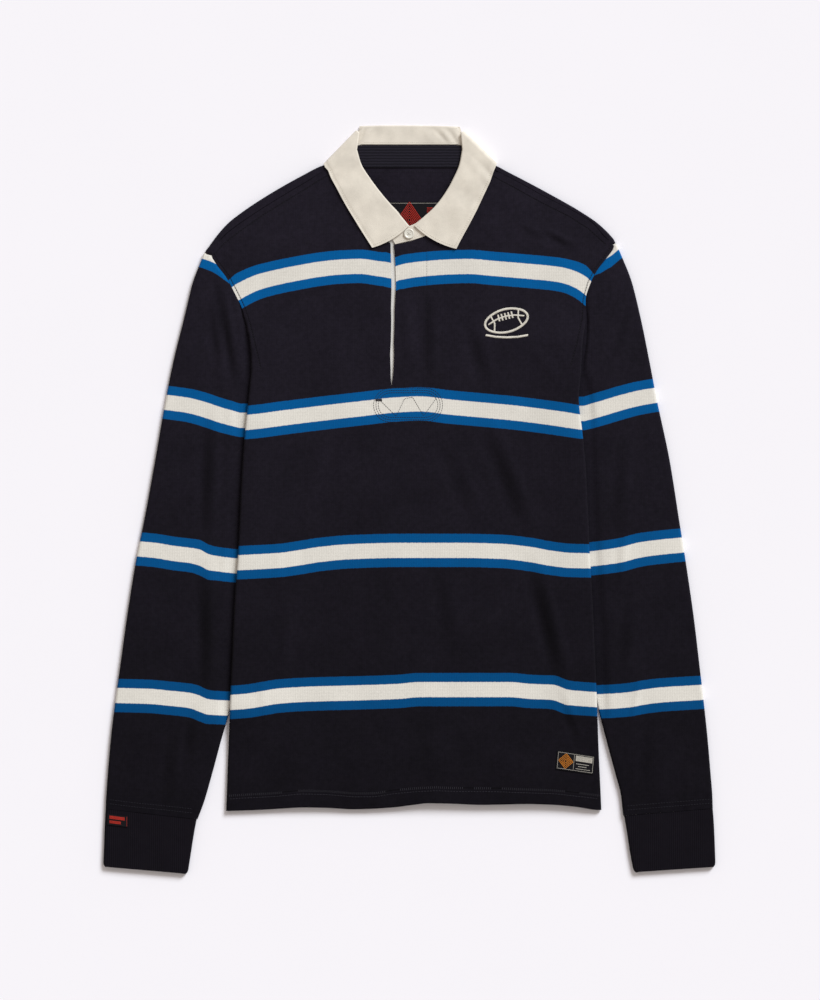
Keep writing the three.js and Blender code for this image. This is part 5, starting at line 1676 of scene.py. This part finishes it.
seam_stitches = running_stitch(LEFT_SHOULDER, on_front, 3.0, 0.7, 0.24, -0.1)
seam_stitches += running_stitch(RIGHT_SHOULDER, on_front, 3.0, 0.7, 0.24, -0.1)
seam_stitches += running_stitch(left_arm, on_front, 3.0, 0.7, 0.24, -0.05)
seam_stitches += running_stitch(right_arm, on_front, 3.0, 0.7, 0.24, -0.05)
seam_stitches += running_stitch(PLACKET_LINE, on_front, 2.8, 0.7, 0.11, -0.02)
seam_thread = thread_mesh("seam_topstitch", seam_stitches)
dress(seam_thread, navy_thread, "navy_jersey")

# Stitched stay at the foot of the placket
PATCH_X = (-39.5, 36.5)
PATCH_Y = (497.0, 534.5)


def stadium(inset):
    """The stay's outline, a bar with round ends, moved inwards."""
    low = PATCH_Y[0] + inset
    high = PATCH_Y[1] - inset
    radius = (high - low) / 2
    middle = (high + low) / 2
    left = PATCH_X[0] + inset + radius
    right = PATCH_X[1] - inset - radius
    points = around((left, middle), radius, np.radians(range(90, 271, 15)))
    points += around((right, middle), radius, np.radians(range(-90, 91, 15)))
    return points + [points[0]]


stay_stitches = []
for inset in (0.0, 2.6, 5.2):
    stay_stitches += running_stitch(stadium(inset), on_front, 2.6, 0.88, 0.25)
ZIGZAG = [(-33.5, 522), (-14.6, 503.5), (-5.5, 522.5), (3.3, 524.5), (15.6, 503.8), (29.6, 523.5)]
stay_stitches += running_stitch(ZIGZAG, on_front, 2.4, 0.88, 0.25)
for bar in np.arange(-37.0, -30.0, 0.6):
    stay_stitches.append((bar, 521.2, on_front(bar, 521.2) + 0.1, 0.0, 1.0, 1.5, 0.26))
stay_thread = thread_mesh("placket_stay_stitching", stay_stitches)
dress(stay_thread, dark_thread, "navy_jersey")

# Cuff seams
CUFF_SEAM_LEFT = [(-330, 77.5), (-300, 73.8), (-270, 70.8), (-239, 67.4)]
CUFF_SEAM_RIGHT = [(239, 70.6), (270, 73.2), (300, 75.6), (330, 78)]
on_left_sleeve = lying_on(sleeve_left)
on_right_sleeve = lying_on(sleeve_right)
cuff_stitches = running_stitch(CUFF_SEAM_LEFT, on_left_sleeve, 3.0, 0.72, 0.28)
cuff_stitches += running_stitch(np.array(CUFF_SEAM_LEFT) + (0, 4.5), on_left_sleeve, 3.0, 0.72, 0.28)
cuff_stitches += running_stitch(CUFF_SEAM_RIGHT, on_right_sleeve, 3.0, 0.72, 0.28)
cuff_stitches += running_stitch(np.array(CUFF_SEAM_RIGHT) + (0, 4.5), on_right_sleeve, 3.0, 0.72, 0.28)
cuff_thread = thread_mesh("cuff_coverstitch", cuff_stitches)
dress(cuff_thread, dark_thread, "navy_jersey")

# Collar topstitch

def leaf_edge(rows, inset):
    """A line inside the leaf's outer edge."""
    data = np.array(rows, float)
    index = np.arange(len(data))
    at = np.linspace(0, len(data) - 1, 60)
    rx, ry, ex, ey = [gentle(index, data[:, k], at) for k in range(4)]
    length = np.hypot(ex - rx, ey - ry)
    return np.stack([ex - (ex - rx) / length * inset, ey - (ey - ry) / length * inset], axis=1)


def leaf_front(rows, inset):
    """A line inside the leaf's front edge, from the neck to the point."""
    rx, ry, ex, ey, bow = rows[0]
    length = math.hypot(ex - rx, ey - ry)
    ux = (ex - rx) / length
    uy = (ey - ry) / length
    side = 1 if ex > 0 else -1
    share = np.linspace(0.05, 0.955, 30)
    swing = (bow * 4 * share * (1 - share)) * -side + inset * side
    return np.stack([rx + ux * length * share - uy * swing, ry + uy * length * share + ux * swing], axis=1)


collar_stitches = []
for rows in (FALL_LEFT, FALL_RIGHT):
    collar_stitches += running_stitch(leaf_edge(rows, 2.8)[2:], on_collar, 2.4, 0.72, 0.26)
    collar_stitches += running_stitch(leaf_front(rows, 2.8), on_collar, 2.4, 0.72, 0.22)
TAB_EDGE = [(-14.5, 695), (-8, 696.8), (3, 699.2), (12, 702.5)]
collar_stitches += running_stitch(TAB_EDGE, on_stand, 2.4, 0.72, 0.2)
STAND_SEAM = [(-50, 804.4), (-25, 804.4), (0, 804.4), (25, 804.4), (50, 804.4)]
collar_stitches += running_stitch(STAND_SEAM, on_stand, 2.4, 0.72, 0.2)
collar_thread = thread_mesh("collar_topstitch", collar_stitches)
dress(collar_thread, ivory_thread, "ivory_twill")

# Neck tape sewing
tape_stitches = running_stitch([(-50, 778.6), (0, 778.6), (50, 778.6)], on_tape, 2.6, 0.72, 0.24)
tape_stitches += running_stitch([(-46, 772), (0, 772.4), (46, 772)], on_back, 2.6, 0.72, 0.26)
tape_thread = thread_mesh("neck_tape_stitching", tape_stitches)
dress(tape_thread, navy_thread, "neck_tape")

# Label weaving: plain borders, bars and diamonds in place of words and marks

def along_label(corners, s, t):
    a, b, c, d = [np.array(corner, float) for corner in corners]
    return mix(mix(a, b, s), mix(d, c, s), t)


def label_line(corners, start, end, height, pitch=0.8, radius=0.17):
    path = [along_label(corners, *start), along_label(corners, *end)]
    return running_stitch(path, height, pitch, 1.25, radius)


def label_block(corners, low, high, height, rows, radius=0.3):
    """A plain bar woven in rows, between two corners given as shares of the label."""
    stitches = []
    for t in np.linspace(low[1], high[1], rows):
        stitches += label_line(corners, (low[0], t), (high[0], t), height, 0.8, radius)
    return stitches


def label_border(corners, inset_s, inset_t, height):
    low = (inset_s, inset_t)
    right = (1 - inset_s, inset_t)
    high = (1 - inset_s, 1 - inset_t)
    left = (inset_s, 1 - inset_t)
    stitches = []
    for start, end in ((low, right), (right, high), (high, left), (left, low)):
        stitches += label_line(corners, start, end, height)
    return stitches


def nested_diamonds(corners, middle, reach, count, height, pitch, radius):
    """Diamonds one inside the other, the label's plain badge."""
    stitches = []
    for k in range(count):
        size = 1 - k / count
        points = []
        for turn in range(5):
            angle = math.pi / 2 * turn
            s_at = middle[0] + reach[0] * size * math.cos(angle)
            t_at = middle[1] + reach[1] * size * math.sin(angle)
            points.append(along_label(corners, s_at, t_at))
        stitches += running_stitch(points, height, pitch, 1.2, radius)
    return stitches


pale_stitches = label_border(HEM_LABEL, 0.035, 0.07, on_hem_label)
pale_stitches += label_block(HEM_LABEL, (0.5, 0.6), (0.94, 0.86), on_hem_label, 9)
pale_stitches += label_block(HEM_LABEL, (0.52, 0.44), (0.86, 0.44), on_hem_label, 1, 0.26)
pale_stitches += label_block(HEM_LABEL, (0.58, 0.31), (0.8, 0.31), on_hem_label, 1, 0.26)
pale_stitches += label_block(HEM_LABEL, (0.52, 0.18), (0.9, 0.18), on_hem_label, 1, 0.22)
pale_stitches += label_line(HEM_LABEL, (0.46, 0.1), (0.46, 0.9), on_hem_label)
pale_stitches += label_border(NECK_LABEL, 0.02, 0.03, on_neck_label)
pale_woven = thread_mesh("label_borders", pale_stitches)
dress(pale_woven, pale_thread, "woven_label")

orange_stitches = nested_diamonds(HEM_LABEL, (0.245, 0.5), (0.19, 0.4), 4, on_hem_label, 0.9, 0.34)
orange_woven = thread_mesh("hem_label_badge", orange_stitches)
dress(orange_woven, orange_thread, "woven_label")

red_stitches = label_block(CUFF_LABEL, (0.1, 0.6), (0.84, 0.84), on_cuff_label, 5)
red_stitches += label_block(CUFF_LABEL, (0.1, 0.2), (0.66, 0.4), on_cuff_label, 4)
red_stitches += label_line(CUFF_LABEL, (0.95, 0.04), (0.95, 0.96), on_cuff_label)
red_stitches += nested_diamonds(NECK_LABEL, (0.5, 0.56), (0.21, 0.44), 7, on_neck_label, 1.2, 0.42)
for side in (0.14, 0.8):
    red_stitches += label_block(NECK_LABEL, (side, 0.74), (side + 0.1, 0.86), on_neck_label, 5)
red_woven = thread_mesh("label_red_weaving", red_stitches)
dress(red_woven, red_thread, "woven_label")

# Chest embroidery: a laced ball, tilted, above one plain bar
CHEST = (106.5, 608.5)
CHEST_LEAN = math.radians(14)


def oval(rx, ry):
    """The ball's outline, a little pointed at its two ends."""
    points = []
    for degrees in np.arange(0, 360.1, 6):
        a = math.radians(degrees)
        points.append((rx * math.cos(a) * (1 - 0.12 * abs(math.sin(a)) ** 3), ry * math.sin(a)))
    return points


def on_chest(points):
    cosine = math.cos(CHEST_LEAN)
    sine = math.sin(CHEST_LEAN)
    return [(CHEST[0] + x * cosine - y * sine, CHEST[1] + x * sine + y * cosine) for x, y in points]


embroidery = satin_stitch(on_chest(oval(24, 12.6)), on_front, 2.8)
seam = [(-20, 0.5), (-10, 3.8), (0, 4.9), (10, 3.8), (20, 0.5)]
embroidery += satin_stitch(on_chest(seam), on_front, 1.9)
for place in (-7.5, -3.8, 0, 3.8, 7.5):
    embroidery += satin_stitch(on_chest([(place, 1.4), (place, 8.2)]), on_front, 2.1)
for end in (-1, 1):
    band = [(end * 15.5, -8.2), (end * 13.2, 0), (end * 15.5, 8.2)]
    embroidery += satin_stitch(on_chest(band), on_front, 2.0)
bar = [(84, 592.5), (95, 590.6), (107, 590), (119, 590.6), (130, 592.5)]
embroidery += satin_stitch(bar, on_front, 2.6)
chest_motif = thread_mesh("chest_embroidery", embroidery)
dress(chest_motif, ivory_thread, "ivory_twill")

# Studio
bpy.ops.mesh.primitive_plane_add(size=8, location=(0, 0, -0.0002))
paper = bpy.context.object
paper.name = "studio_floor"
paper.data.materials.append(studio_paper())

world = bpy.data.worlds.new("pale_studio")
bpy.context.scene.world = world
world.use_nodes = True
sky = world.node_tree.nodes["Background"]
sky.inputs["Color"].default_value = (1.0, 0.92, 0.84, 1.0)
sky.inputs["Strength"].default_value = 0.45

sun = bpy.data.lights.new("broad_studio_light", "SUN")
sun.energy = 3.16
sun.angle = math.radians(26)
sun.color = (0.93, 0.975, 1.0)
sun_object = bpy.data.objects.new("broad_studio_light", sun)
sun_object.rotation_euler = Vector((-0.52, -0.70, -0.6)).to_track_quat("-Z", "Y").to_euler()
bpy.context.scene.collection.objects.link(sun_object)

PICTURE_SCALE = 1.1
PICTURE_HEIGHT = 1000
LENS = 200.0
camera_data = bpy.data.cameras.new("overhead")
camera_data.lens = LENS
camera_data.sensor_fit = "VERTICAL"
camera_data.sensor_height = 36.0
camera_data.clip_end = 50
camera = bpy.data.objects.new("overhead", camera_data)
distance = LENS / camera_data.sensor_height * PICTURE_HEIGHT * PICTURE_SCALE * MM
camera.location = (0.0006, 0.0002, distance)
camera.rotation_euler = (0, 0, 0)
bpy.context.scene.collection.objects.link(camera)
bpy.context.scene.camera = camera
bpy.context.scene.view_settings.view_transform = "Standard"
